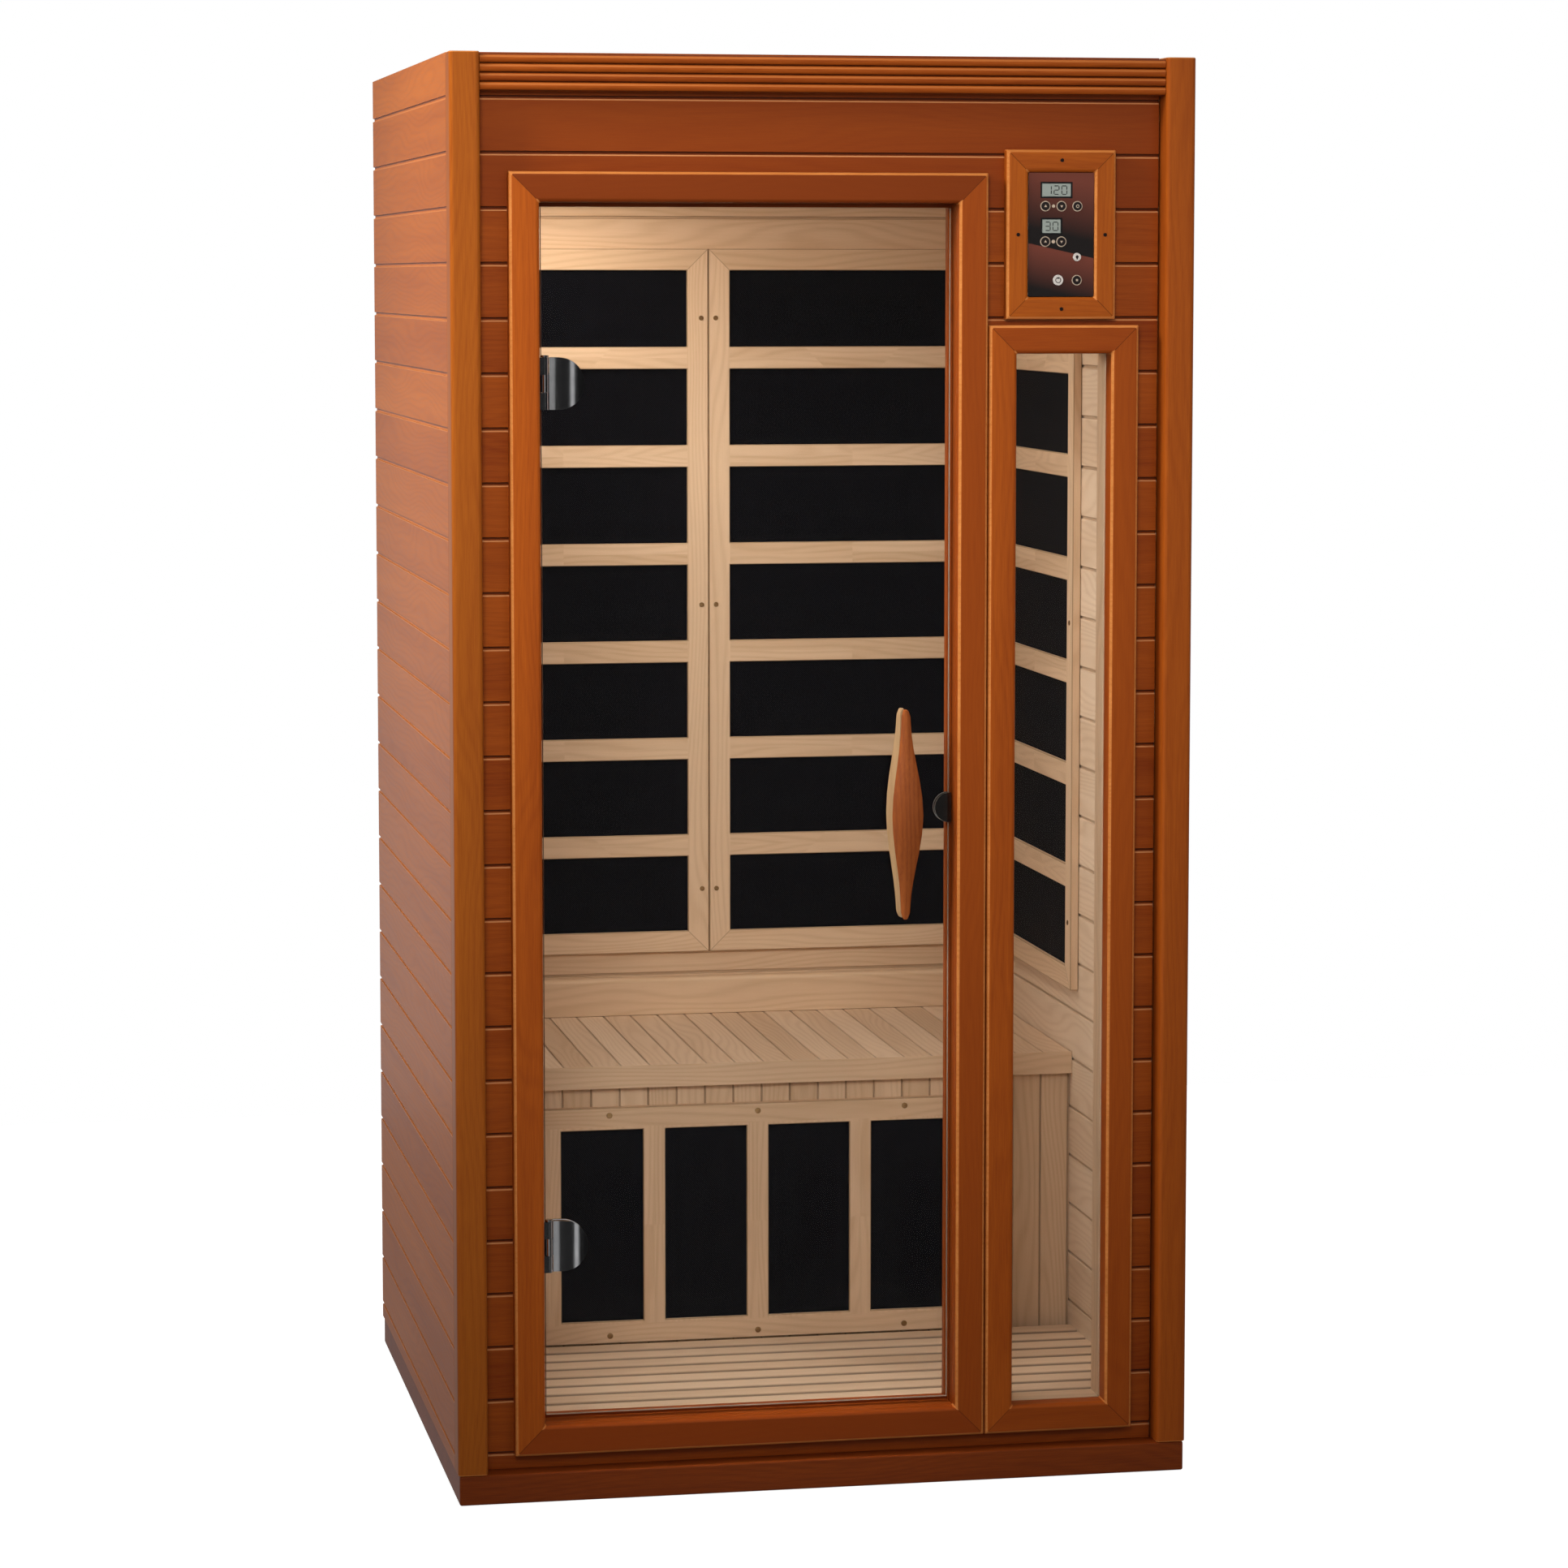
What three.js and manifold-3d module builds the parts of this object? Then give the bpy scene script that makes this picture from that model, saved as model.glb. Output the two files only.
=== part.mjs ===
// Infrared sauna cabin for one or two people: boarded walls round a bench, a glass door and a tall
// side window in the front, carbon heaters behind wooden grilles and a push-button control panel.
// Millimetres, +Z up. The front faces -Y, and the origin is the middle of the base, on the floor.
import * as THREE from "three";
import { mergeVertices } from "three/addons/utils/BufferGeometryUtils.js";
import Module from "manifold-3d";

const wasm = await Module();
wasm.setup();

// Clearances
const fitGap = 0.3;
const runningGap = 0.7;
const frameGap = 1;
const bezelGap = 7;

// Widths across the front, from the left post to the right post
const postSize = 40;
const leftBoards = 37.5;
const architraveWidth = 40;
const doorOpeningWidth = 555;
const windowArchitraveWidth = 38;
const windowOpeningWidth = 128;
const rightBoards = 32.5;

// Heights up the front, from the floor to the top of the posts
const plinthHeight = 40;
const frameRise = 20;
const doorOpeningHeight = 1608;
const headBoards = 102;
const corniceReed = 11.75;
const corniceReeds = 4;
const corniceDrop = 3;

// Depths from the front to the back
const cabinDepth = 960;
const boardSetback = 30;
const wallThickness = 42;
const architraveDepth = 20;
const corniceSetback = 4;
const glassSetback = 34;
const windowGlassSetback = 30;

// Shell
const plinthInset = 2;
const edgeRadius = 6;
const boardPitch = 71.25;
const firstBoard = 17.5;
const grooveWidth = 9;
const grooveDepth = 4;
const roofSpace = 100;
const ceilingThickness = 25;
const roofRecess = 20;
const roofSkin = 12;

// Door
const glassThickness = 8;
const hingeSideGap = 5.5;
const latchSideGap = 4;
const glassBottomGap = 7;
const glassTopGap = 6;
const jambThickness = 14;
const stopSize = 5;
const stopClearance = 6;
const trimThickness = 12;

// Hinges
const hingeInset = 228;
const hingeHeight = 68;
const hingePlateWidth = 47;
const hingePlateThickness = 4;
const knuckleRadius = 5.5;
const pinRadius = 2.5;
const leafThickness = 2.5;
const leafDepth = 22;
const bossRadius = 8;

// Handles, strike and catch
const handleLength = 280;
const handleMidWidth = 34;
const handleEndWidth = 12;
const handleMidDepth = 30;
const handleEndDepth = 14;
const handleTipLength = 10;
const handleTipBlunt = 0.4;
const handleHeight = 900;
const handleFromEdge = 61.5;
const handleBoltSpacing = 160;
const handleBoltRadius = 3;
const handleBoltGrip = 10;
const strikeWidth = 20;
const strikeHeight = 40;
const strikeThickness = 3;
const strikeEdge = 2;
const catchHeight = 30;
const catchWidth = 12;
const latchLevel = 908;

// Window
const windowGlassThickness = 6;
const windowLiningThickness = 10;

// Bench, floor and heaters
const benchTopHeight = 500;
const benchDepth = 458;
const benchBoard = 20;
const benchBoardPitch = 41;
const benchNosingHeight = 32;
const benchNosingDepth = 25;
const benchOverhang = 15;
const benchPanelThickness = 18;
const benchGroove = 3;
const backRailHeight = 56;
const backRailDepth = 22;
const slatWidth = 42;
const slatGap = 5.5;
const slatThickness = 18;
const slatRadius = 6;
const bearerWidth = 45;
const bearerCount = 3;
const grilleBar = 33;
const grilleRim = 32;
const grilleThickness = 12;
const grilleRebate = 6;
const grilleRebateLap = 12;
const grilleWindowHeight = 114;
const grilleAboveBench = 94;
const grilleBelowCeiling = 100;
const backGrilleMargin = 13;
const sideGrilleWidth = 440;
const sideGrilleFromBack = 51;
const calfWindowWidth = 118;
const calfWindows = 4;
const calfBar = 31.5;
const calfBelowNosing = 28;
const calfOffset = -8;
const heaterThickness = 5;

// Control panel
const bezelWidth = 149;
const bezelHeight = 223;
const bezelBorder = 30;
const bezelDepth = 16;
const bezelDrop = 71;
const bezelOffset = -4;
const fasciaSetback = 3;
const fasciaThickness = 2;
const boardThickness = 1.6;
const buttonProud = 1.2;
const buttonTravel = 1;
const buttonFlange = 1.5;
const smallButtonRadius = 5.5;
const powerButtonRadius = 7;

// Roof gear
const lampRadius = 60;
const lampDepth = 14;
const lampNeckRadius = 38;
const lampPlace = [-220, 140];
const ventPlace = [190, 160];
const ventLength = 120;
const ventWidth = 80;
const shutterLap = 10;
const shutterThickness = 5;
const shutterTravel = 110;
const runnerWall = 8;
const runnerLip = 6;
const knobRadius = 9;
const knobHeight = 14;
const powerUnitSize = [280, 190, 34];
const powerUnitPlace = [170, -180];
const powerUnitFlange = 18;
const powerUnitFoot = 3;
const glandFromRight = 123;
const glandFromBack = 58;
const glandRadius = 14;
const glandThreadRadius = 9;
const glandBoreRadius = 5;
const glandHeight = 16;
const glandNut = 8;

// Places that follow from the driving dimensions
const frontWidths = leftBoards + 2 * architraveWidth + doorOpeningWidth + frameGap;
const windowWidths = 2 * windowArchitraveWidth + windowOpeningWidth + rightBoards;
const cabinWidth = 2 * postSize + frontWidths + windowWidths;
const corniceHeight = corniceReed * corniceReeds;
const frameBottom = plinthHeight + frameRise;
const doorSill = frameBottom + architraveWidth;
const doorHead = doorSill + doorOpeningHeight;
const corniceBottom = doorHead + architraveWidth + headBoards;
const cabinHeight = corniceBottom + corniceHeight + corniceDrop;
const left = -cabinWidth / 2;
const right = cabinWidth / 2;
const front = -cabinDepth / 2;
const back = cabinDepth / 2;
const insideLeft = left + wallThickness;
const insideRight = right - wallThickness;
const insideBack = back - wallThickness;
const insideWidth = insideRight - insideLeft;
const boardsFront = front + boardSetback;
const insideFront = boardsFront + wallThickness;
const frontWallEdge = Math.max(postSize, wallThickness) + fitGap;
const architraveBack = boardsFront - fitGap;
const architraveFront = architraveBack - architraveDepth;
const trimFront = insideFront + fitGap;
const trimBack = trimFront + trimThickness;

const doorLeft = left + postSize + leftBoards + architraveWidth;
const doorRight = doorLeft + doorOpeningWidth;
const doorCentre = (doorLeft + doorRight) / 2;
const glassLeft = doorLeft + hingeSideGap;
const glassRight = doorRight - latchSideGap;
const glassBottom = doorSill + glassBottomGap;
const glassTop = doorHead - glassTopGap;
const glassFront = architraveFront + glassSetback;
const glassBack = glassFront + glassThickness;
const stopFront = glassBack + stopClearance;
const hingeX = doorLeft + fitGap + leafThickness + runningGap + knuckleRadius;
const hingeY = glassFront - fitGap - knuckleRadius;
const hingeLevels = { upper: glassTop - hingeInset, lower: glassBottom + hingeInset };

const windowLeft = doorRight + architraveWidth + frameGap + windowArchitraveWidth;
const windowCentre = windowLeft + windowOpeningWidth / 2;
const windowSill = frameBottom + windowArchitraveWidth;
const bezelTop = corniceBottom - bezelDrop;
const bezelCentre = bezelTop - bezelHeight / 2;
const windowHead = bezelTop - bezelHeight - bezelGap - windowArchitraveWidth;
const windowOpeningHeight = windowHead - windowSill;
const windowMiddle = (windowHead + windowSill) / 2;
const windowGlassFront = architraveFront + windowGlassSetback;
const windowGlassBack = windowGlassFront + windowGlassThickness;

const ceilingBottom = cabinHeight - roofSpace;
const ceilingTop = ceilingBottom + ceilingThickness;
const roofTop = cabinHeight - roofRecess;
const benchFront = insideBack - benchDepth;
const benchPanelFront = benchFront + benchOverhang;
const grilleBottom = benchTopHeight + grilleAboveBench;
const calfBottom = doorSill + fitGap;
const calfTop = benchTopHeight - benchNosingHeight - calfBelowNosing;
const glandPlace = [insideRight - glandFromRight, insideBack - glandFromBack];

// Finishes
function wood(colour, roughness) {
  return new THREE.MeshStandardMaterial({ color: colour, roughness, metalness: 0 });
}
const cherry = wood(0x9c5220, 0.38);
const hemlock = wood(0xe2c39a, 0.6);
const darkCherry = wood(0x7a3413, 0.4);
const clearGlass = new THREE.MeshStandardMaterial({
  color: 0xe8f0ee,
  roughness: 0.05,
  transparent: true,
  opacity: 0.25,
});
const carbon = new THREE.MeshStandardMaterial({ color: 0x101012, roughness: 0.85 });
const chrome = new THREE.MeshStandardMaterial({ color: 0xd8d8da, roughness: 0.12, metalness: 1 });
const greyMetal = new THREE.MeshStandardMaterial({ color: 0x8c8f92, roughness: 0.45, metalness: 0.8 });
const blackPlastic = new THREE.MeshStandardMaterial({ color: 0x1b1a1a, roughness: 0.5 });
const fasciaPrint = new THREE.MeshStandardMaterial({ color: 0x4a1512, roughness: 0.3 });
const displayGrey = new THREE.MeshStandardMaterial({ color: 0x8a9590, roughness: 0.35 });
const whitePlastic = new THREE.MeshStandardMaterial({ color: 0xf2efe8, roughness: 0.4 });

// Booleans
function solidOf(geometry) {
  const bare = geometry.clone();
  bare.deleteAttribute("normal");
  bare.deleteAttribute("uv");
  const merged = mergeVertices(bare, 1e-4);
  return new wasm.Manifold(
    new wasm.Mesh({
      numProp: 3,
      vertProperties: new Float32Array(merged.attributes.position.array),
      triVerts: new Uint32Array(merged.index.array),
    }),
  );
}

function geometryOf(solid) {
  const made = solid.getMesh();
  const geometry = new THREE.BufferGeometry();
  geometry.setAttribute("position", new THREE.BufferAttribute(made.vertProperties, 3));
  geometry.setIndex(new THREE.BufferAttribute(made.triVerts, 1));
  geometry.computeVertexNormals();
  return geometry;
}

function joined(...geometries) {
  return geometryOf(geometries.map(solidOf).reduce((sum, next) => sum.add(next)));
}

function cut(geometry, ...tools) {
  return geometryOf(tools.map(solidOf).reduce((rest, next) => rest.subtract(next), solidOf(geometry)));
}

// Basic shapes
function block(x0, x1, y0, y1, z0, z1) {
  const made = new THREE.BoxGeometry(x1 - x0, y1 - y0, z1 - z0);
  return made.translate((x0 + x1) / 2, (y0 + y1) / 2, (z0 + z1) / 2);
}

function rodZ(radius, z0, z1, x = 0, y = 0, sides = 24) {
  const made = new THREE.CylinderGeometry(radius, radius, z1 - z0, sides);
  return made.rotateX(Math.PI / 2).translate(x, y, (z0 + z1) / 2);
}

function rodY(radius, y0, y1, x = 0, z = 0, sides = 20) {
  const made = new THREE.CylinderGeometry(radius, radius, y1 - y0, sides);
  return made.translate(x, (y0 + y1) / 2, z);
}

// Extrudes a shape drawn in x and z along y, from y0 to y1.
function plateXZ(shape, y0, y1) {
  const made = new THREE.ExtrudeGeometry(shape, { depth: y1 - y0, bevelEnabled: false, curveSegments: 12 });
  return made.rotateX(Math.PI / 2).translate(0, y1, 0);
}

// Extrudes a profile drawn in y and z along x, with its middle at x = 0.
function lengthAlongX(shape, length) {
  const made = new THREE.ExtrudeGeometry(shape, { depth: length, bevelEnabled: false, curveSegments: 6 });
  const axes = new THREE.Matrix4().makeBasis(
    new THREE.Vector3(0, 1, 0),
    new THREE.Vector3(0, 0, 1),
    new THREE.Vector3(1, 0, 0),
  );
  return made.applyMatrix4(axes).translate(-length / 2, 0, 0);
}

function arc(centreA, centreB, radius, from, to, steps = 4) {
  const points = [];
  for (let i = 0; i <= steps; i++) {
    const angle = from + ((to - from) * i) / steps;
    points.push([centreA + radius * Math.cos(angle), centreB + radius * Math.sin(angle)]);
  }
  return points;
}

// A rectangular frame with mitred corners in x and z. The profile runs round the rail's section
// anticlockwise, as pairs of distance out from the opening's edge and place along y.
function mitredFrame(openingWidth, openingHeight, profile) {
  const corners = [
    [-1, -1],
    [1, -1],
    [1, 1],
    [-1, 1],
  ];
  const vertices = [];
  for (const [sideX, sideZ] of corners) {
    for (const [out, y] of profile) {
      vertices.push(sideX * (openingWidth / 2 + out), y, sideZ * (openingHeight / 2 + out));
    }
  }
  const count = profile.length;
  const faces = [];
  for (let corner = 0; corner < corners.length; corner++) {
    const here = corner * count;
    const there = ((corner + 1) % corners.length) * count;
    for (let i = 0; i < count; i++) {
      const next = (i + 1) % count;
      faces.push(here + i, there + next, there + i);
      faces.push(here + i, here + next, there + next);
    }
  }
  const geometry = new THREE.BufferGeometry();
  geometry.setAttribute("position", new THREE.Float32BufferAttribute(vertices, 3));
  geometry.setIndex(faces);
  geometry.computeVertexNormals();
  return geometry;
}

// The front half of a rail's section, from the opening's edge to the outer edge, with rounded corners.
function roundedFront(width, y) {
  return [
    ...arc(edgeRadius, y + edgeRadius, edgeRadius, Math.PI, 1.5 * Math.PI),
    ...arc(width - edgeRadius, y + edgeRadius, edgeRadius, 1.5 * Math.PI, 2 * Math.PI),
  ];
}

// A wall panel of horizontal boards: its outer face is y = 0, and its length lies along x.
function boardedPanel(length, thickness, bottom, top) {
  const channels = [];
  for (let z = plinthHeight + firstBoard; z + grooveWidth < top; z += boardPitch) {
    channels.push(z);
  }
  const shape = new THREE.Shape();
  shape.moveTo(0, bottom);
  for (const z of channels) {
    shape.lineTo(0, z);
    shape.lineTo(grooveDepth, z);
    shape.lineTo(grooveDepth, z + grooveWidth);
    shape.lineTo(0, z + grooveWidth);
  }
  shape.lineTo(0, top);
  shape.lineTo(thickness, top);
  for (const z of channels.toReversed()) {
    shape.lineTo(thickness, z + grooveWidth);
    shape.lineTo(thickness - grooveDepth, z + grooveWidth);
    shape.lineTo(thickness - grooveDepth, z);
    shape.lineTo(thickness, z);
  }
  shape.lineTo(thickness, bottom);
  return lengthAlongX(shape, length);
}

// The scene graph
const cabin = new THREE.Group();

function add(parent, name, geometry, material, place = [0, 0, 0], turn = 0) {
  const made = new THREE.Mesh(geometry, material);
  made.name = name;
  made.position.set(...place);
  made.rotation.z = turn;
  parent.add(made);
  return made;
}

// Base plinth
const plinth = block(left + plinthInset, right - plinthInset, front + plinthInset, back - plinthInset, 0, plinthHeight);
add(cabin, "base_plinth", plinth, darkCherry);

// Walls
const wallBottom = plinthHeight + fitGap;
const sideWallFront = front + postSize + fitGap;
const sideWallLength = back - sideWallFront;
const sideWallMiddle = (back + sideWallFront) / 2;
const sideWall = boardedPanel(sideWallLength, wallThickness, wallBottom, cabinHeight);
add(cabin, "left_wall", sideWall, cherry, [left, sideWallMiddle, 0], -Math.PI / 2);
add(cabin, "right_wall", sideWall, cherry, [right, sideWallMiddle, 0], Math.PI / 2);
const backWall = boardedPanel(insideWidth - 2 * fitGap, wallThickness, wallBottom, cabinHeight);
add(cabin, "back_wall", backWall, cherry, [0, back, 0], Math.PI);

function wallHole(x0, x1, z0, z1, margin) {
  const y0 = boardsFront - wallThickness;
  const y1 = insideFront + wallThickness;
  return block(x0 - margin, x1 + margin, y0, y1, z0 - margin, z1 + margin);
}
const frontBoards = boardedPanel(cabinWidth - 2 * frontWallEdge, wallThickness, wallBottom, cabinHeight);
const doorHole = wallHole(doorLeft, doorRight, doorSill, doorHead, jambThickness + fitGap);
const windowHoleMargin = windowLiningThickness + fitGap;
const windowRight = windowLeft + windowOpeningWidth;
const windowHole = wallHole(windowLeft, windowRight, windowSill, windowHead, windowHoleMargin);
add(cabin, "front_wall", cut(frontBoards.translate(0, boardsFront, 0), doorHole, windowHole), cherry);

// Corner posts, rounded on their front edges
const postShape = new THREE.Shape();
postShape.moveTo(0, postSize);
for (const [x, y] of roundedFront(postSize, 0)) {
  postShape.lineTo(x, y);
}
postShape.lineTo(postSize, postSize);
const postHeight = cabinHeight - wallBottom;
const post = new THREE.ExtrudeGeometry(postShape, { depth: postHeight, bevelEnabled: false });
add(cabin, "corner_post_left", post, cherry, [left, front, wallBottom]);
add(cabin, "corner_post_right", post, cherry, [right - postSize, front, wallBottom]);

// Cornice of rounded reeds
const corniceFront = front + corniceSetback;
const corniceShape = new THREE.Shape();
corniceShape.moveTo(boardsFront - fitGap, corniceBottom);
for (let reed = 0; reed < corniceReeds; reed++) {
  const middle = corniceBottom + (reed + 0.5) * corniceReed;
  const points = arc(corniceFront + corniceReed / 2, middle, corniceReed / 2, 1.5 * Math.PI, 0.5 * Math.PI, 6);
  for (const [y, z] of points) {
    corniceShape.lineTo(y, z);
  }
}
corniceShape.lineTo(boardsFront - fitGap, corniceBottom + corniceHeight);
const corniceLength = cabinWidth - 2 * (postSize + fitGap);
add(cabin, "cornice_moulding", lengthAlongX(corniceShape, corniceLength), darkCherry);

// Ceiling with the vent's hole and runners, and the lamp's hole
const ceilingEdge = fitGap;
const ceilingPanel = block(
  insideLeft + ceilingEdge,
  insideRight - ceilingEdge,
  insideFront + ceilingEdge,
  insideBack - ceilingEdge,
  ceilingBottom,
  ceilingTop,
);
const shutterHalfWidth = ventWidth / 2 + shutterLap;
const shutterLength = ventLength + 2 * shutterLap;
const shutterTop = ceilingBottom - fitGap;
const shutterBottom = shutterTop - shutterThickness;
const runnerStart = ventPlace[0] - shutterLength / 2;
const runnerEnd = ventPlace[0] + shutterLength / 2 + shutterTravel;
const runners = [];
for (const side of [-1, 1]) {
  const inner = ventPlace[1] + side * (shutterHalfWidth + runningGap);
  const outer = inner + side * runnerWall;
  const lip = inner - side * runnerLip;
  const lipTop = shutterBottom - fitGap;
  const lipBottom = lipTop - runnerLip;
  const low = Math.min(inner, outer);
  const high = Math.max(inner, outer);
  runners.push(block(runnerStart, runnerEnd, low, high, lipBottom, ceilingBottom + fitGap));
  const lipLow = Math.min(lip, outer);
  const lipHigh = Math.max(lip, outer);
  runners.push(block(runnerStart, runnerEnd, lipLow, lipHigh, lipBottom, lipTop));
}
const ventHole = block(
  ventPlace[0] - ventLength / 2,
  ventPlace[0] + ventLength / 2,
  ventPlace[1] - ventWidth / 2,
  ventPlace[1] + ventWidth / 2,
  ceilingBottom - ceilingThickness,
  ceilingTop + ceilingThickness,
);
const lampHoleRadius = lampNeckRadius + fitGap;
const lampHole = rodZ(lampHoleRadius, ceilingBottom - ceilingThickness, ceilingTop + ceilingThickness, ...lampPlace);
add(cabin, "ceiling_panel", cut(joined(ceilingPanel, ...runners), ventHole, lampHole), hemlock);

// Vent shutter with its knob
const shutterPlate = block(
  -shutterLength / 2,
  shutterLength / 2,
  -shutterHalfWidth,
  shutterHalfWidth,
  shutterBottom,
  shutterTop,
);
const shutterKnob = rodZ(knobRadius, shutterBottom - knobHeight, shutterTop - fitGap);
add(cabin, "vent_shutter", joined(shutterPlate, shutterKnob), hemlock, [...ventPlace, 0]);

// Ceiling lamp
const lampDisc = rodZ(lampRadius, ceilingBottom - fitGap - lampDepth, ceilingBottom - fitGap, ...lampPlace, 32);
const lampNeck = rodZ(lampNeckRadius, ceilingBottom - lampDepth, ceilingTop, ...lampPlace);
add(cabin, "ceiling_lamp", joined(lampDisc, lampNeck), whitePlastic);

// Roof cover with the gland's hole
const coverBottom = ceilingTop + fitGap;
const coverOuter = block(
  insideLeft + ceilingEdge,
  insideRight - ceilingEdge,
  insideFront + ceilingEdge,
  insideBack - ceilingEdge,
  coverBottom,
  roofTop,
);
const coverInner = block(
  insideLeft + ceilingEdge + roofSkin,
  insideRight - ceilingEdge - roofSkin,
  insideFront + ceilingEdge + roofSkin,
  insideBack - ceilingEdge - roofSkin,
  coverBottom - roofSkin,
  roofTop - roofSkin,
);
const glandHole = rodZ(glandThreadRadius + fitGap, roofTop - 2 * roofSkin, roofTop + roofSkin, ...glandPlace);
add(cabin, "roof_cover", cut(coverOuter, coverInner, glandHole), hemlock);

// Power unit on the ceiling, under the cover
const [unitLength, unitWidth, unitHeight] = powerUnitSize;
const unitBox = new THREE.BoxGeometry(unitLength, unitWidth, unitHeight);
unitBox.translate(0, 0, unitHeight / 2);
const unitFoot = new THREE.BoxGeometry(unitLength + 2 * powerUnitFlange, unitWidth, powerUnitFoot);
unitFoot.translate(0, 0, powerUnitFoot / 2);
add(cabin, "power_unit", joined(unitBox, unitFoot), greyMetal, [...powerUnitPlace, ceilingTop + fitGap]);

// Mains cable gland through the roof cover
const glandProfile = [
  [glandBoreRadius, -roofSkin - fitGap - glandNut],
  [glandRadius, -roofSkin - fitGap - glandNut],
  [glandRadius, -roofSkin - fitGap],
  [glandThreadRadius, -roofSkin - fitGap],
  [glandThreadRadius, fitGap],
  [glandRadius, fitGap],
  [glandRadius, glandHeight / 2],
  [glandThreadRadius, glandHeight],
  [glandBoreRadius, glandHeight],
  [glandBoreRadius, -roofSkin - fitGap - glandNut],
].map(([radius, z]) => new THREE.Vector2(radius, z));
const gland = new THREE.LatheGeometry(glandProfile, 24).rotateX(Math.PI / 2);
add(cabin, "cable_gland", gland, blackPlastic, [...glandPlace, roofTop]);

// Door frame: outer architrave, jamb with its stop, and inner trim
const doorFrame = new THREE.Group();
doorFrame.position.set(doorCentre, 0, (doorSill + doorHead) / 2);
cabin.add(doorFrame);
const doorArchitraveSection = [
  [0, architraveBack],
  ...roundedFront(architraveWidth, architraveFront),
  [architraveWidth, architraveBack],
];
const doorArchitrave = mitredFrame(doorOpeningWidth, doorOpeningHeight, doorArchitraveSection);
add(doorFrame, "door_architrave", doorArchitrave, cherry);
const jambSection = [
  [0, boardsFront],
  [jambThickness, boardsFront],
  [jambThickness, insideFront],
  [-stopSize, insideFront],
  [-stopSize, stopFront],
  [0, stopFront],
];
const jambFrame = mitredFrame(doorOpeningWidth, doorOpeningHeight, jambSection);
const latchZ = latchLevel - doorFrame.position.z;
const catchRight = doorOpeningWidth / 2 - fitGap;
const catchLeft = catchRight - catchWidth;
const catchFront = glassBack + fitGap + strikeThickness + fitGap;
const catchNotch = block(
  catchLeft - fitGap,
  catchRight + fitGap,
  catchFront - fitGap,
  insideFront + trimThickness,
  latchZ - catchHeight / 2 - fitGap,
  latchZ + catchHeight / 2 + fitGap,
);
add(doorFrame, "door_jamb", cut(jambFrame, catchNotch), darkCherry);
const catchBody = block(
  catchLeft,
  catchRight,
  catchFront,
  insideFront,
  latchZ - catchHeight / 2,
  latchZ + catchHeight / 2,
);
add(doorFrame, "magnet_catch", catchBody, blackPlastic);
const doorTrimSection = [
  [0, trimFront],
  [architraveWidth, trimFront],
  [architraveWidth, trimBack],
  [0, trimBack],
];
const doorTrim = mitredFrame(doorOpeningWidth, doorOpeningHeight, doorTrimSection);
add(doorFrame, "door_inner_trim", doorTrim, hemlock);

// Window frame: architrave with its bead, lining with its inner trim, and the pane between them
const windowFrame = new THREE.Group();
windowFrame.position.set(windowCentre, 0, windowMiddle);
cabin.add(windowFrame);
const beadBack = windowGlassFront - fitGap;
const windowArchitraveSection = [
  [0, beadBack],
  ...roundedFront(windowArchitraveWidth, architraveFront),
  [windowArchitraveWidth, architraveBack],
  [windowLiningThickness, architraveBack],
  [windowLiningThickness, beadBack],
];
const windowArchitrave = mitredFrame(windowOpeningWidth, windowOpeningHeight, windowArchitraveSection);
add(windowFrame, "window_architrave", windowArchitrave, cherry);
const liningFront = windowGlassBack + fitGap;
const liningSection = [
  [0, trimBack],
  [0, liningFront],
  [windowLiningThickness, liningFront],
  [windowLiningThickness, trimFront],
  [windowArchitraveWidth, trimFront],
  [windowArchitraveWidth, trimBack],
];
add(windowFrame, "window_lining", mitredFrame(windowOpeningWidth, windowOpeningHeight, liningSection), hemlock);
const paneHalfWidth = windowOpeningWidth / 2 + windowLiningThickness;
const paneHalfHeight = windowOpeningHeight / 2 + windowLiningThickness;
const pane = block(
  -paneHalfWidth,
  paneHalfWidth,
  windowGlassFront,
  windowGlassBack,
  -paneHalfHeight,
  paneHalfHeight,
);
add(windowFrame, "window_glass", pane, clearGlass);

// Hinges on the jamb: a leaf with two knuckles, and the pin
const knuckleThird = hingeHeight / 3;
const jambFace = doorLeft + fitGap - hingeX;
for (const [level, z] of Object.entries(hingeLevels)) {
  const bottom = -hingeHeight / 2;
  const top = hingeHeight / 2;
  const leafFront = -knuckleRadius;
  const plate = block(jambFace, jambFace + leafThickness, leafFront, leafFront + leafDepth, bottom, top);
  const knuckles = [];
  const middleRoom = knuckleThird / 2 + fitGap;
  for (const [z0, z1] of [[bottom, -middleRoom], [middleRoom, top]]) {
    knuckles.push(rodZ(knuckleRadius, z0, z1));
    knuckles.push(block(jambFace, 0, leafFront, -pinRadius - fitGap, z0, z1));
  }
  const pinHole = rodZ(pinRadius + fitGap, bottom - knuckleRadius, top + knuckleRadius);
  const leaf = cut(joined(plate, ...knuckles), pinHole);
  add(cabin, `hinge_leaf_${level}`, leaf, chrome, [hingeX, hingeY, z]);
  const shank = rodZ(pinRadius, bottom, top + fitGap);
  const pinHead = rodZ(knuckleRadius, top + fitGap, top + fitGap + pinRadius);
  add(cabin, `hinge_pin_${level}`, joined(shank, pinHead), chrome, [hingeX, hingeY, z]);
}

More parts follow.
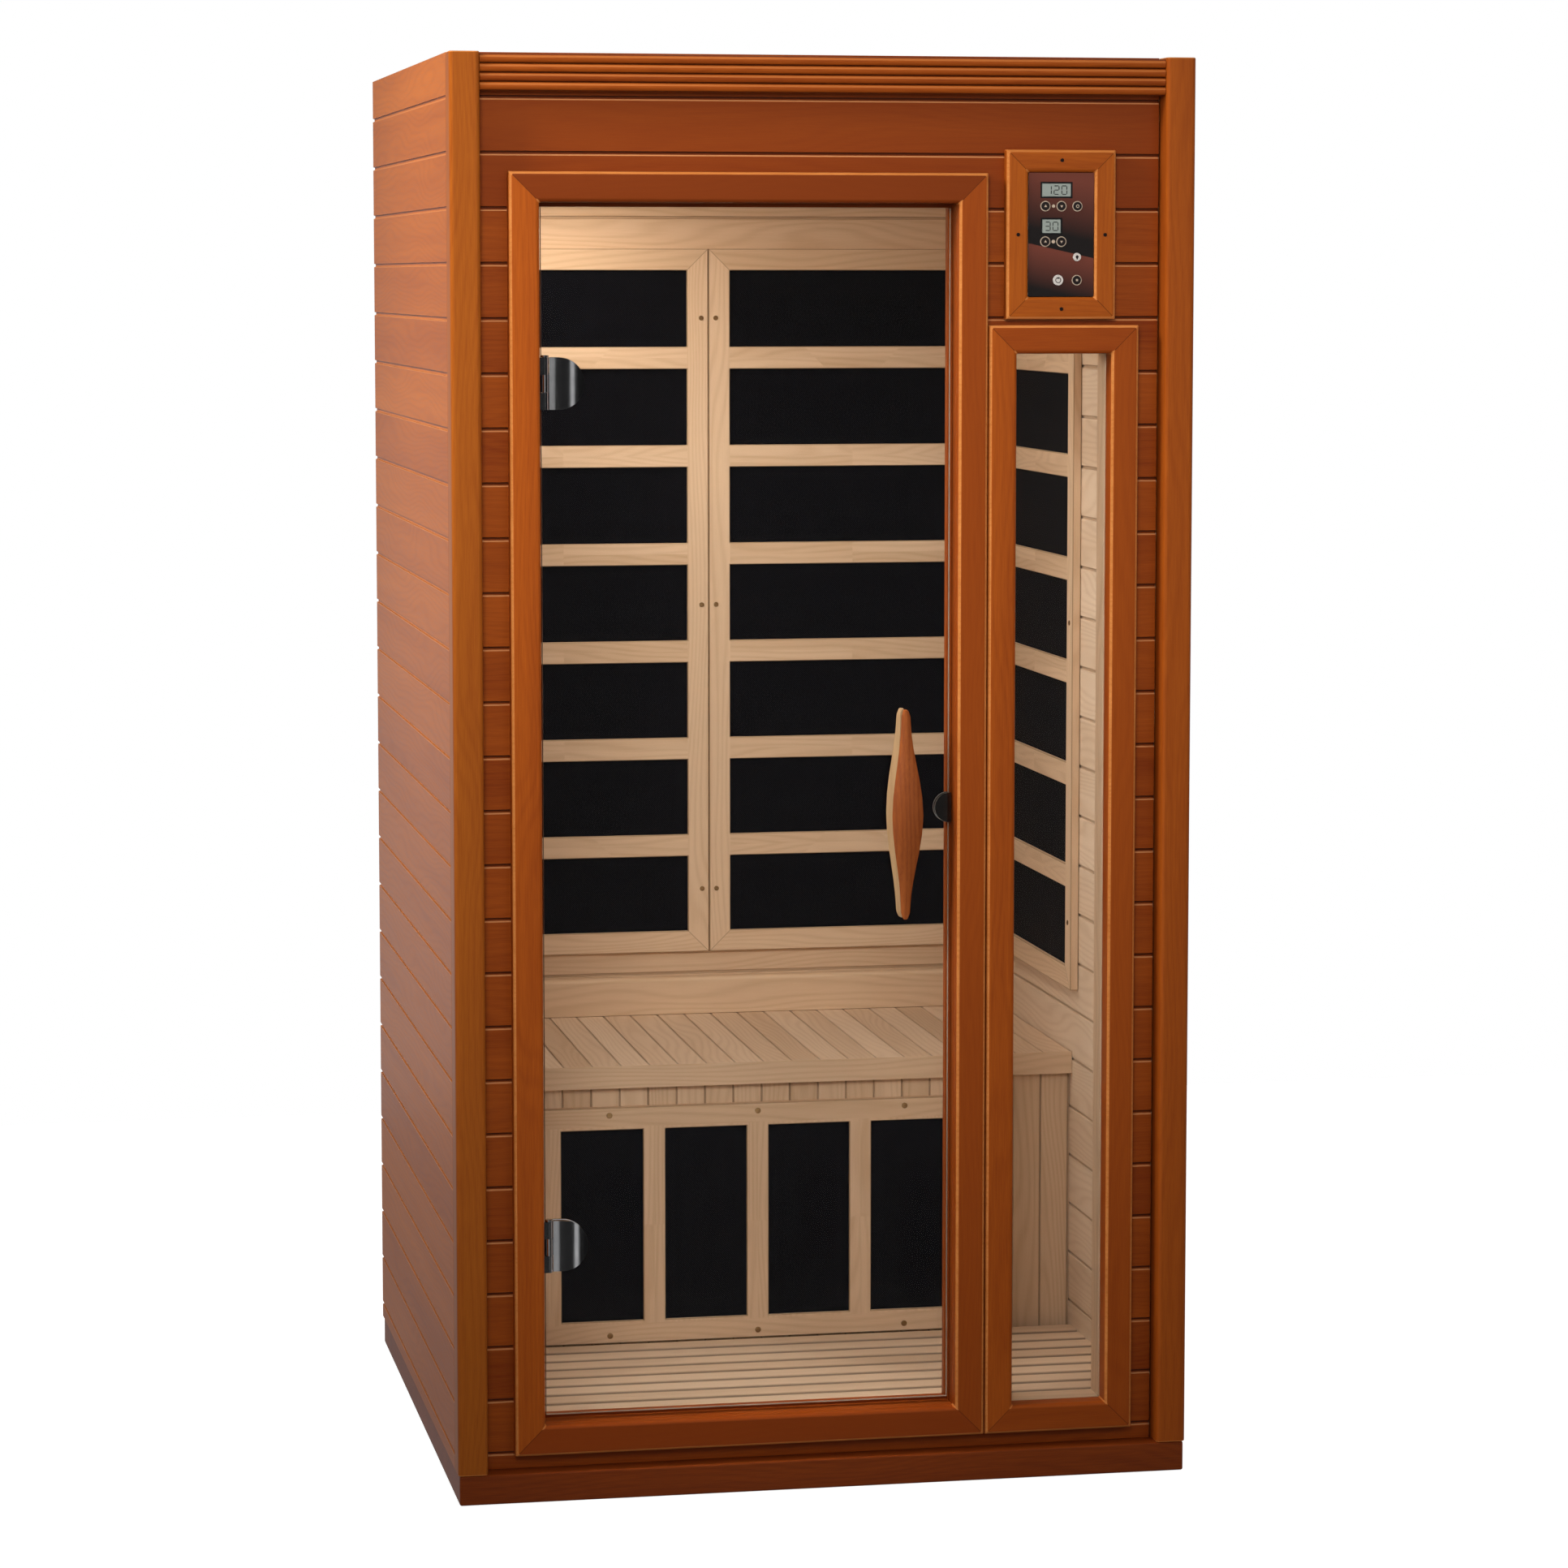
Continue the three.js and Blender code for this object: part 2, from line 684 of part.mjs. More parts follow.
// The door swings on the hinge axis, so its group stands there
const door = new THREE.Group();
door.position.set(hingeX, hingeY, 0);
cabin.add(door);
const faceFront = glassFront - hingeY;
const faceBack = glassBack - hingeY;
const edgeLeft = glassLeft - hingeX;
const edgeRight = glassRight - hingeX;
const bossX = edgeLeft + hingePlateWidth * 0.6;
const handleX = edgeRight - handleFromEdge;
const boltLevels = {
  upper: handleHeight + handleBoltSpacing / 2,
  lower: handleHeight - handleBoltSpacing / 2,
};
const glassHoles = [];
for (const z of Object.values(hingeLevels)) {
  glassHoles.push(rodY(bossRadius + fitGap, faceFront - glassThickness, faceBack + glassThickness, bossX, z));
}
for (const z of Object.values(boltLevels)) {
  glassHoles.push(rodY(handleBoltRadius + fitGap, faceFront - glassThickness, faceBack + glassThickness, handleX, z));
}
const glassSheet = block(edgeLeft, edgeRight, faceFront, faceBack, glassBottom, glassTop);
add(door, "door_glass", cut(glassSheet, ...glassHoles), clearGlass);

// Hinge plates on the glass, half round away from the knuckles
function hingePlateShape(x0, x1) {
  const radius = hingeHeight / 2;
  const shape = new THREE.Shape();
  shape.moveTo(x0, -radius);
  shape.lineTo(x1 - radius, -radius);
  shape.absarc(x1 - radius, 0, radius, -Math.PI / 2, Math.PI / 2, false);
  shape.lineTo(x0, radius);
  return shape;
}
for (const [level, z] of Object.entries(hingeLevels)) {
  const plateLeft = knuckleRadius + runningGap;
  const plateRight = plateLeft + hingePlateWidth;
  const plateBack = faceFront - fitGap;
  const plateFront = plateBack - hingePlateThickness;
  const knuckleBottom = -knuckleThird / 2;
  const knuckleTop = knuckleThird / 2;
  const plate = plateXZ(hingePlateShape(plateLeft, plateRight), plateFront, plateBack);
  const knuckle = rodZ(knuckleRadius, knuckleBottom, knuckleTop);
  const bridge = block(0, plateLeft + runningGap, plateFront, plateBack, knuckleBottom, knuckleTop);
  const boss = rodY(bossRadius, plateFront, faceBack, bossX, 0);
  const pinHole = rodZ(pinRadius + fitGap, -hingeHeight, hingeHeight);
  const outer = cut(joined(plate, knuckle, bridge, boss), pinHole);
  add(door, `hinge_plate_${level}`, outer, chrome, [0, 0, z]);
  const clampFront = faceBack + fitGap;
  const clamp = plateXZ(hingePlateShape(plateLeft, plateRight), clampFront, clampFront + hingePlateThickness);
  add(door, `hinge_clamp_${level}`, clamp, chrome, [0, 0, z]);
}

// Handles: tapered wooden grips, narrow at the glass and broad in the hand, with rounded tips
function handleGrip(outward) {
  const stations = 18;
  const section = [
    [0.52, 0],
    [0.64, 0.4],
    [0.97, 0.76],
    [1, 0.84],
    [0.62, 0.96],
    [0, 1],
    [-0.62, 0.96],
    [-1, 0.84],
    [-0.97, 0.76],
    [-0.64, 0.4],
    [-0.52, 0],
  ];
  const tipStart = 1 - (2 * handleTipLength) / handleLength;
  const vertices = [];
  for (let i = 0; i <= stations; i++) {
    const along = Math.sin(Math.PI * (i / stations - 0.5));
    const swell = 0.5 + 0.5 * Math.cos(Math.PI * along);
    const intoTip = Math.max(0, (Math.abs(along) - tipStart) / (1 - tipStart));
    const tip = Math.max(handleTipBlunt, Math.sqrt(1 - intoTip * intoTip));
    const halfWidth = (tip * (handleEndWidth + (handleMidWidth - handleEndWidth) * swell)) / 2;
    const depth = handleEndDepth + (handleMidDepth - handleEndDepth) * swell;
    for (const [across, out] of section) {
      vertices.push(across * halfWidth, outward * out * depth, (along * handleLength) / 2);
    }
  }
  const count = section.length;
  const faces = [];
  for (let i = 0; i < stations; i++) {
    for (let j = 0; j < count; j++) {
      const a = i * count + j;
      const b = i * count + ((j + 1) % count);
      faces.push(a, b, b + count);
      faces.push(a, b + count, a + count);
    }
  }
  const lastRing = stations * count;
  for (let j = 1; j < count - 1; j++) {
    faces.push(0, j + 1, j);
    faces.push(lastRing, lastRing + j, lastRing + j + 1);
  }
  if (outward < 0) {
    faces.reverse();
  }
  const geometry = new THREE.BufferGeometry();
  geometry.setAttribute("position", new THREE.Float32BufferAttribute(vertices, 3));
  geometry.setIndex(faces);
  return geometry;
}

const boltLength = glassThickness + 2 * fitGap + 2 * handleBoltGrip;
const boltStart = faceFront - fitGap - handleBoltGrip;
function handleWithBores(outward) {
  const bores = Object.values(boltLevels).map((z) =>
    rodY(handleBoltRadius + fitGap, -handleBoltGrip - fitGap, handleBoltGrip + fitGap, 0, z - handleHeight),
  );
  return cut(handleGrip(outward), ...bores);
}
add(door, "handle_outer", handleWithBores(-1), cherry, [handleX, faceFront - fitGap, handleHeight]);
add(door, "handle_inner", handleWithBores(1), hemlock, [handleX, faceBack + fitGap, handleHeight]);
for (const [level, z] of Object.entries(boltLevels)) {
  const bolt = rodY(handleBoltRadius, boltStart, boltStart + boltLength, handleX, z);
  add(door, `handle_bolt_${level}`, bolt, greyMetal);
}

// Strike clamp on the glass edge, half round towards the hinge
const strikeShape = new THREE.Shape();
strikeShape.moveTo(fitGap + strikeEdge, -strikeHeight / 2);
strikeShape.lineTo(fitGap + strikeEdge, strikeHeight / 2);
strikeShape.lineTo(0, strikeHeight / 2);
strikeShape.absellipse(0, 0, strikeWidth, strikeHeight / 2, Math.PI / 2, 1.5 * Math.PI, false);
const strikeFront = faceFront - fitGap - strikeThickness;
const strikeBack = faceBack + fitGap + strikeThickness;
const strikeOuter = plateXZ(strikeShape, strikeFront, faceFront - fitGap);
const strikeInner = plateXZ(strikeShape, faceBack + fitGap, strikeBack);
const strikeWrap = block(
  fitGap,
  fitGap + strikeEdge,
  strikeFront,
  strikeBack,
  -strikeHeight / 2,
  strikeHeight / 2,
);
const strike = joined(strikeOuter, strikeInner, strikeWrap);
add(door, "strike_clamp", strike, chrome, [edgeRight, 0, latchLevel]);

// Grilles and heaters. A grille lies in x and z with its back at y = 0 and its front towards -y.
function grilleSize(columns, rows, windowWidth, windowHeight, bar) {
  const width = columns * windowWidth + (columns - 1) * bar + 2 * grilleRim;
  const height = rows * windowHeight + (rows - 1) * bar + 2 * grilleRim;
  return [width, height];
}

function grille(columns, rows, windowWidth, windowHeight, bar) {
  const [width, height] = grilleSize(columns, rows, windowWidth, windowHeight, bar);
  const blank = block(-width / 2, width / 2, -grilleThickness, 0, -height / 2, height / 2);
  const holes = [];
  for (let column = 0; column < columns; column++) {
    for (let row = 0; row < rows; row++) {
      const x0 = -width / 2 + grilleRim + column * (windowWidth + bar);
      const z0 = -height / 2 + grilleRim + row * (windowHeight + bar);
      const x1 = x0 + windowWidth;
      holes.push(block(x0, x1, -2 * grilleThickness, grilleThickness, z0, z0 + windowHeight));
    }
  }
  const halfWidth = width / 2 - grilleRebateLap;
  const halfHeight = height / 2 - grilleRebateLap;
  const rebate = block(-halfWidth, halfWidth, -grilleRebate, grilleRebate, -halfHeight, halfHeight);
  return cut(blank, ...holes, rebate);
}

function heater(columns, rows, windowWidth, windowHeight, bar) {
  const [width, height] = grilleSize(columns, rows, windowWidth, windowHeight, bar);
  const halfWidth = width / 2 - grilleRebateLap - fitGap;
  const halfHeight = height / 2 - grilleRebateLap - fitGap;
  const heaterBack = -fitGap;
  return block(-halfWidth, halfWidth, heaterBack - heaterThickness, heaterBack, -halfHeight, halfHeight);
}

function addHeater(name, sizes, place, turn) {
  const station = new THREE.Group();
  station.position.set(...place);
  station.rotation.z = turn;
  cabin.add(station);
  add(station, `grille_${name}`, grille(...sizes), hemlock);
  add(station, `heater_${name}`, heater(...sizes), carbon);
}

const grilleRoom = ceilingBottom - grilleBelowCeiling - grilleBottom - 2 * grilleRim + grilleBar;
const grilleRows = Math.floor(grilleRoom / (grilleWindowHeight + grilleBar));
const backWindowWidth = insideWidth / 2 - backGrilleMargin - 2 * grilleRim;
const backSizes = [1, grilleRows, backWindowWidth, grilleWindowHeight, grilleBar];
const sideSizes = [1, grilleRows, sideGrilleWidth - 2 * grilleRim, grilleWindowHeight, grilleBar];
const [backGrilleWidth, tallGrilleHeight] = grilleSize(...backSizes);
const tallGrilleMiddle = grilleBottom + tallGrilleHeight / 2;
const backGrilleX = backGrilleWidth / 2 + frameGap / 2;
const sideGrilleY = insideBack - sideGrilleFromBack - sideGrilleWidth / 2;
addHeater("back_left", backSizes, [-backGrilleX, insideBack - fitGap, tallGrilleMiddle], 0);
addHeater("back_right", backSizes, [backGrilleX, insideBack - fitGap, tallGrilleMiddle], 0);
addHeater("left", sideSizes, [insideLeft + fitGap, sideGrilleY, tallGrilleMiddle], Math.PI / 2);
addHeater("right", sideSizes, [insideRight - fitGap, sideGrilleY, tallGrilleMiddle], -Math.PI / 2);
const calfWindowHeight = calfTop - calfBottom - 2 * grilleRim;
const calfSizes = [calfWindows, 1, calfWindowWidth, calfWindowHeight, calfBar];
const calfMiddle = (calfTop + calfBottom) / 2;
addHeater("calf", calfSizes, [calfOffset, benchPanelFront - fitGap, calfMiddle], 0);

// Bench top of boards that run front to back, with a nosing rail along its front
const benchLeft = insideLeft + fitGap;
const benchRight = insideRight - fitGap;
const benchUnder = benchTopHeight - benchBoard;
const benchShape = new THREE.Shape();
benchShape.moveTo(benchLeft, benchUnder);
benchShape.lineTo(benchLeft, benchTopHeight);
for (let x = benchLeft + benchBoardPitch; x + benchGroove < benchRight; x += benchBoardPitch) {
  benchShape.lineTo(x, benchTopHeight);
  benchShape.lineTo(x, benchTopHeight - benchGroove);
  benchShape.lineTo(x + benchGroove, benchTopHeight - benchGroove);
  benchShape.lineTo(x + benchGroove, benchTopHeight);
}
benchShape.lineTo(benchRight, benchTopHeight);
benchShape.lineTo(benchRight, benchUnder);
const benchBoards = plateXZ(benchShape, benchFront + benchNosingDepth - fitGap, insideBack - fitGap);
const nosingBack = benchPanelFront - fitGap;
const nosingTop = block(
  benchLeft,
  benchRight,
  benchFront,
  benchFront + benchNosingDepth,
  benchUnder,
  benchTopHeight,
);
const nosingLip = block(
  benchLeft,
  benchRight,
  benchFront,
  nosingBack,
  benchTopHeight - benchNosingHeight,
  benchTopHeight,
);
add(cabin, "bench_top", joined(benchBoards, nosingTop, nosingLip), hemlock);

// Bench front panel of upright boards
const panelTop = benchUnder - fitGap;
const panelBack = benchPanelFront + benchPanelThickness;
const panelShape = new THREE.Shape();
panelShape.moveTo(benchLeft, panelBack);
panelShape.lineTo(benchLeft, benchPanelFront);
for (let x = benchLeft + benchBoardPitch; x + benchGroove < benchRight; x += benchBoardPitch) {
  panelShape.lineTo(x, benchPanelFront);
  panelShape.lineTo(x, benchPanelFront + benchGroove);
  panelShape.lineTo(x + benchGroove, benchPanelFront + benchGroove);
  panelShape.lineTo(x + benchGroove, benchPanelFront);
}
panelShape.lineTo(benchRight, benchPanelFront);
panelShape.lineTo(benchRight, panelBack);
const panelBottom = plinthHeight + fitGap;
const benchPanel = new THREE.ExtrudeGeometry(panelShape, { depth: panelTop - panelBottom, bevelEnabled: false });
add(cabin, "bench_front", benchPanel, hemlock, [0, 0, panelBottom]);

// Rail along the back of the bench, rounded on top
const railShape = new THREE.Shape();
const railBack = insideBack - fitGap;
const railFront = railBack - backRailDepth;
const railBottom = benchTopHeight + fitGap;
const railTop = railBottom + backRailHeight;
railShape.moveTo(railBack, railBottom);
railShape.lineTo(railFront, railBottom);
for (const [y, z] of arc(railFront + edgeRadius, railTop - edgeRadius, edgeRadius, Math.PI, Math.PI / 2)) {
  railShape.lineTo(y, z);
}
railShape.lineTo(railBack, railTop);
add(cabin, "bench_back_rail", lengthAlongX(railShape, benchRight - benchLeft), hemlock);

// Floor duckboard: rounded slats from side to side on bearers
const slatFront = trimBack + fitGap;
const slatRoom = benchPanelFront - grilleThickness - fitGap - slatFront;
const slatCount = Math.floor((slatRoom + slatGap) / (slatWidth + slatGap));
const slatPitch = (slatRoom - slatWidth) / (slatCount - 1);
const slatShape = new THREE.Shape();
const slatTop = doorSill;
const slatUnder = slatTop - slatThickness;
slatShape.moveTo(0, slatUnder);
for (const [y, z] of arc(slatRadius, slatTop - slatRadius, slatRadius, Math.PI, Math.PI / 2, 3)) {
  slatShape.lineTo(y, z);
}
for (const [y, z] of arc(slatWidth - slatRadius, slatTop - slatRadius, slatRadius, Math.PI / 2, 0, 3)) {
  slatShape.lineTo(y, z);
}
slatShape.lineTo(slatWidth, slatUnder);
const slatLength = benchRight - benchLeft;
const duckboard = [];
for (let slat = 0; slat < slatCount; slat++) {
  duckboard.push(lengthAlongX(slatShape, slatLength).translate(0, slatFront + slat * slatPitch, 0));
}
const bearerBack = slatFront + slatRoom;
for (let bearer = 0; bearer < bearerCount; bearer++) {
  const middle = ((slatLength - bearerWidth) * bearer) / (bearerCount - 1) - (slatLength - bearerWidth) / 2;
  const x0 = middle - bearerWidth / 2;
  const x1 = middle + bearerWidth / 2;
  duckboard.push(block(x0, x1, slatFront, bearerBack, plinthHeight + fitGap, slatUnder + fitGap));
}
add(cabin, "floor_duckboard", joined(...duckboard), hemlock);

// Control panel: bezel on the boards, fascia inside it, the board behind, and the buttons
const panel = new THREE.Group();
panel.position.set(windowCentre + bezelOffset, architraveBack, bezelCentre);
cabin.add(panel);
const fasciaWidth = bezelWidth - 2 * bezelBorder;
const fasciaHeight = bezelHeight - 2 * bezelBorder;
const bezelSection = [[0, 0], ...roundedFront(bezelBorder, -bezelDepth), [bezelBorder, 0]];
add(panel, "control_bezel", mitredFrame(fasciaWidth, fasciaHeight, bezelSection), cherry);

const displays = [
  { x: -6.5, z: 58.5, width: 39, height: 17 },
  { x: -13, z: 11, width: 25, height: 18 },
];
const buttons = {
  temperature_up: [-21.5, 37.4, smallButtonRadius],
  temperature_down: [0.3, 37.4, smallButtonRadius],
  unit: [22, 37.4, smallButtonRadius],
  time_up: [-21.5, -9.1, smallButtonRadius],
  time_down: [0.3, -9.1, smallButtonRadius],
  light: [21.6, -29.3, smallButtonRadius],
  power: [-4, -59.7, powerButtonRadius],
  audio: [21.6, -59.7, smallButtonRadius],
};
const fasciaFront = -bezelDepth + fasciaSetback;
const fasciaBack = fasciaFront + fasciaThickness;
const flangeFront = fasciaBack + fitGap;
const flangeBack = flangeFront + buttonFlange;
const boardFront = flangeBack + buttonTravel + fitGap;
const boardBack = boardFront + boardThickness;
const fasciaHalfWidth = fasciaWidth / 2 - fitGap;
const fasciaHalfHeight = fasciaHeight / 2 - fitGap;
function displayBlock({ x, z, width, height }, y0, y1, margin) {
  const halfWidth = width / 2 + margin;
  const halfHeight = height / 2 + margin;
  return block(x - halfWidth, x + halfWidth, y0, y1, z - halfHeight, z + halfHeight);
}
const fasciaPlate = block(
  -fasciaHalfWidth,
  fasciaHalfWidth,
  fasciaFront,
  fasciaBack,
  -fasciaHalfHeight,
  fasciaHalfHeight,
);
const fasciaHoles = displays.map((display) => displayBlock(display, -bezelDepth, boardFront, fitGap));
for (const [x, z, radius] of Object.values(buttons)) {
  fasciaHoles.push(rodY(radius + fitGap, -bezelDepth, boardFront, x, z));
}
add(panel, "control_fascia", cut(fasciaPlate, ...fasciaHoles), fasciaPrint);
const boardPlate = block(
  -fasciaHalfWidth,
  fasciaHalfWidth,
  boardFront,
  boardBack,
  -fasciaHalfHeight,
  fasciaHalfHeight,
);
const displayBlocks = displays.map((display) => displayBlock(display, fasciaFront + fitGap, boardBack, 0));
add(panel, "control_board", joined(boardPlate, ...displayBlocks), displayGrey);
for (const [use, [x, z, radius]] of Object.entries(buttons)) {
  const cap = rodY(radius, fasciaFront - buttonProud, flangeBack, 0, 0);
  const flange = rodY(radius + buttonFlange, flangeFront, flangeBack, 0, 0);
  const finish = use === "power" ? whitePlastic : blackPlastic;
  add(panel, `button_${use}`, joined(cap, flange), finish, [x, 0, z]);
}

export default cabin;
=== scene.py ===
import math
import bpy
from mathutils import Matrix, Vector


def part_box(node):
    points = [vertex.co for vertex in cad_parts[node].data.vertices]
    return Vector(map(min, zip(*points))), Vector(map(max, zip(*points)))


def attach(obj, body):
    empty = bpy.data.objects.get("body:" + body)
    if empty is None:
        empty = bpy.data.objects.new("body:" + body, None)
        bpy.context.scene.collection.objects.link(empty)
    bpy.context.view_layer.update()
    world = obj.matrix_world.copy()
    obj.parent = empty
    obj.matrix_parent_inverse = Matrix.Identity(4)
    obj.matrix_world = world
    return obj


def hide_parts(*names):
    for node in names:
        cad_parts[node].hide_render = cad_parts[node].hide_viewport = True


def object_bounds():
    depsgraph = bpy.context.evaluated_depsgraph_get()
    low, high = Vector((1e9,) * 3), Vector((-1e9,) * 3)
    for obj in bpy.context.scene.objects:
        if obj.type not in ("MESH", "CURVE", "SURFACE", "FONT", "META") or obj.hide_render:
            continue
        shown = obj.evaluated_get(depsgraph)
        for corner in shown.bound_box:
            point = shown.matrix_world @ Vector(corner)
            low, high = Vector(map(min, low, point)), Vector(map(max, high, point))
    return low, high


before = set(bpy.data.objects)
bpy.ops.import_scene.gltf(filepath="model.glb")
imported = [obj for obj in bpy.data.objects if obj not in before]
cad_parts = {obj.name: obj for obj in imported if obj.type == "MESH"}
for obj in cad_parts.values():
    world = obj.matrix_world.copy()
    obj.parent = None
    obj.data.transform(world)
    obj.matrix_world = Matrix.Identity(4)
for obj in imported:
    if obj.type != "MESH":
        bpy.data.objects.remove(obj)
cad_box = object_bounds()

# Base plinth: the floor module that the walls stand on, a boarded slab of cherry-stained hemlock
# with its corners eased by sanding. The walls drop on to it and are held by their own weight.


def eased(node, arris, steps, merge_flats=True, shaping=None, worn=None):
    """A copy of a solid with its arrises taken off, as sandpaper takes them off planed wood."""
    bpy.ops.object.select_all(action="DESELECT")
    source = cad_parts[node]
    piece = bpy.data.objects.new(f"{node}_eased", source.data.copy())
    bpy.context.scene.collection.objects.link(piece)
    piece.data.materials.clear()
    piece.select_set(True)
    bpy.context.view_layer.objects.active = piece
    if piece.data.has_custom_normals:
        bpy.ops.mesh.customdata_custom_splitnormals_clear()
    bpy.ops.object.mode_set(mode="EDIT")
    bpy.ops.mesh.select_all(action="SELECT")
    bpy.ops.mesh.remove_doubles(threshold=0.00002)
    if merge_flats:
        bpy.ops.mesh.dissolve_limited(angle_limit=math.radians(0.5))
    else:
        bpy.ops.mesh.tris_convert_to_quads()
    bpy.ops.object.mode_set(mode="OBJECT")
    if shaping:
        shaping(piece)
    bevel = piece.modifiers.new("arris", "BEVEL")
    bevel.limit_method = "ANGLE"
    bevel.angle_limit = math.radians(32)
    bevel.width = arris
    bevel.segments = steps
    # A second finish on the new bevel faces carries wear with painted highlight on the stained wood, a
    # painted shadow line on the grilles and a painted highlight on the strike.
    if worn:
        piece.data.materials.append(worn)
        piece.data.materials.append(worn)
        bevel.material = 1
    bpy.ops.object.modifier_apply(modifier=bevel.name)
    bpy.ops.object.shade_smooth_by_angle(angle=math.radians(38))
    true_flats = piece.modifiers.new("true_flats", "WEIGHTED_NORMAL")
    true_flats.keep_sharp = True
    bpy.ops.object.modifier_apply(modifier=true_flats.name)
    return piece


def set_in_place(piece, node, body="cabin"):
    """The piece stands for the solid, which is hidden, and moves with its body."""
    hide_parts(node)
    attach(piece, body)


def finish_with(piece, *materials):
    """Gives a piece its finishes, in the order of its material slots."""
    slots = piece.data.materials
    for place, material in enumerate(materials):
        if place < len(slots):
            slots[place] = material
        else:
            slots.append(material)
    while len(slots) > len(materials):
        slots.pop(index=len(slots) - 1)


def dress(node, slot, *finishes, body="cabin", **easing):
    """An eased copy of a solid, finished and set in its place."""
    piece = eased(node, **easing)
    finish_with(piece, *finishes)
    set_in_place(piece, node, body)
    return piece


def fresh_material(name):
    """A new material, with its node tree and its main shader."""
    material = bpy.data.materials.new(name)
    material.use_nodes = True
    return material, material.node_tree, material.node_tree.nodes["Principled BSDF"]


def put(tree, kind, settings=None, **sockets):
    """One shader node, with its settings and the plain values of its sockets."""
    made = tree.nodes.new(kind)
    for key, value in (settings or {}).items():
        setattr(made, key, value)
    for key, value in sockets.items():
        made.inputs[key.replace("_", " ")].default_value = value
    return made


def object_place(tree):
    """The Object coordinates of the piece that wears the material."""
    return put(tree, "ShaderNodeTexCoord").outputs["Object"]


def object_axes(tree):
    """The Object coordinates, split by axis."""
    axes = put(tree, "ShaderNodeSeparateXYZ")
    tree.links.new(object_place(tree), axes.inputs[0])
    return axes.outputs


def sums(tree, operation, a, b=None, c=None):
    """A Math node on two or three sockets or numbers; gives its output socket."""
    made = put(tree, "ShaderNodeMath", {"operation": operation})
    for place, value in enumerate((a, b, c)):
        if value is None:
            continue
        if isinstance(value, (int, float)):
            made.inputs[place].default_value = value
        else:
            tree.links.new(value, made.inputs[place])
    return made.outputs[0]


def blend_colours(tree, factor, first, second):
    """A colour Mix node; each colour is a socket or a plain linear colour."""
    made = put(tree, "ShaderNodeMix", {"data_type": "RGBA"})
    for place, value in ((0, factor), (6, first), (7, second)):
        if isinstance(value, bpy.types.NodeSocket):
            tree.links.new(value, made.inputs[place])
        else:
            made.inputs[place].default_value = value if place == 0 else (*value, 1)
    return made.outputs[2]


# The grain of sawn softwood: broad streaks, growth rings that wander along the board, fine fibres.
grain = bpy.data.node_groups.new("sawn_grain", "ShaderNodeTree")
for socket in ("Along", "Across", "Through", "Board"):
    grain.interface.new_socket(socket, in_out="INPUT", socket_type="NodeSocketFloat")
for socket in ("Streaks", "Rings", "Fibres", "Board tone"):
    grain.interface.new_socket(socket, in_out="OUTPUT", socket_type="NodeSocketFloat")
grain_in = grain.nodes.new("NodeGroupInput")
grain_out = grain.nodes.new("NodeGroupOutput")


def grain_noise(along, across, shift, detail, roughness):
    """Noise drawn out along the board, and moved on for each board so that none repeats."""
    place = put(grain, "ShaderNodeCombineXYZ")
    moved = sums(grain, "MULTIPLY", grain_in.outputs["Board"], shift)
    grain.links.new(sums(grain, "MULTIPLY_ADD", grain_in.outputs["Along"], along, moved), place.inputs[0])
    grain.links.new(sums(grain, "MULTIPLY_ADD", grain_in.outputs["Across"], across, moved), place.inputs[1])
    grain.links.new(sums(grain, "MULTIPLY", grain_in.outputs["Through"], across), place.inputs[2])
    noise = put(grain, "ShaderNodeTexNoise", Scale=1.0, Detail=detail, Roughness=roughness)
    grain.links.new(place.outputs[0], noise.inputs["Vector"])
    return noise.outputs[0]


grain.links.new(grain_noise(1.1, 26, 3.7, 3.0, 0.6), grain_out.inputs["Streaks"])
wander = sums(grain, "MULTIPLY", grain_noise(2.6, 13, 5.3, 1.0, 0.4), 11.0)
ring_count = sums(grain, "MULTIPLY_ADD", grain_in.outputs["Across"], 95.0, wander)
ring_wave = sums(grain, "SINE", sums(grain, "MULTIPLY", ring_count, 2 * math.pi))
ring_lines = sums(grain, "POWER", sums(grain, "MULTIPLY_ADD", ring_wave, 0.5, 0.5), 2.0)
grain.links.new(ring_lines, grain_out.inputs["Rings"])
grain.links.new(grain_noise(24, 700, 5.1, 2.0, 0.7), grain_out.inputs["Fibres"])
tone = put(grain, "ShaderNodeTexWhiteNoise", {"noise_dimensions": "1D"})
grain.links.new(grain_in.outputs["Board"], tone.inputs["W"])
grain.links.new(tone.outputs["Value"], grain_out.inputs["Board tone"])


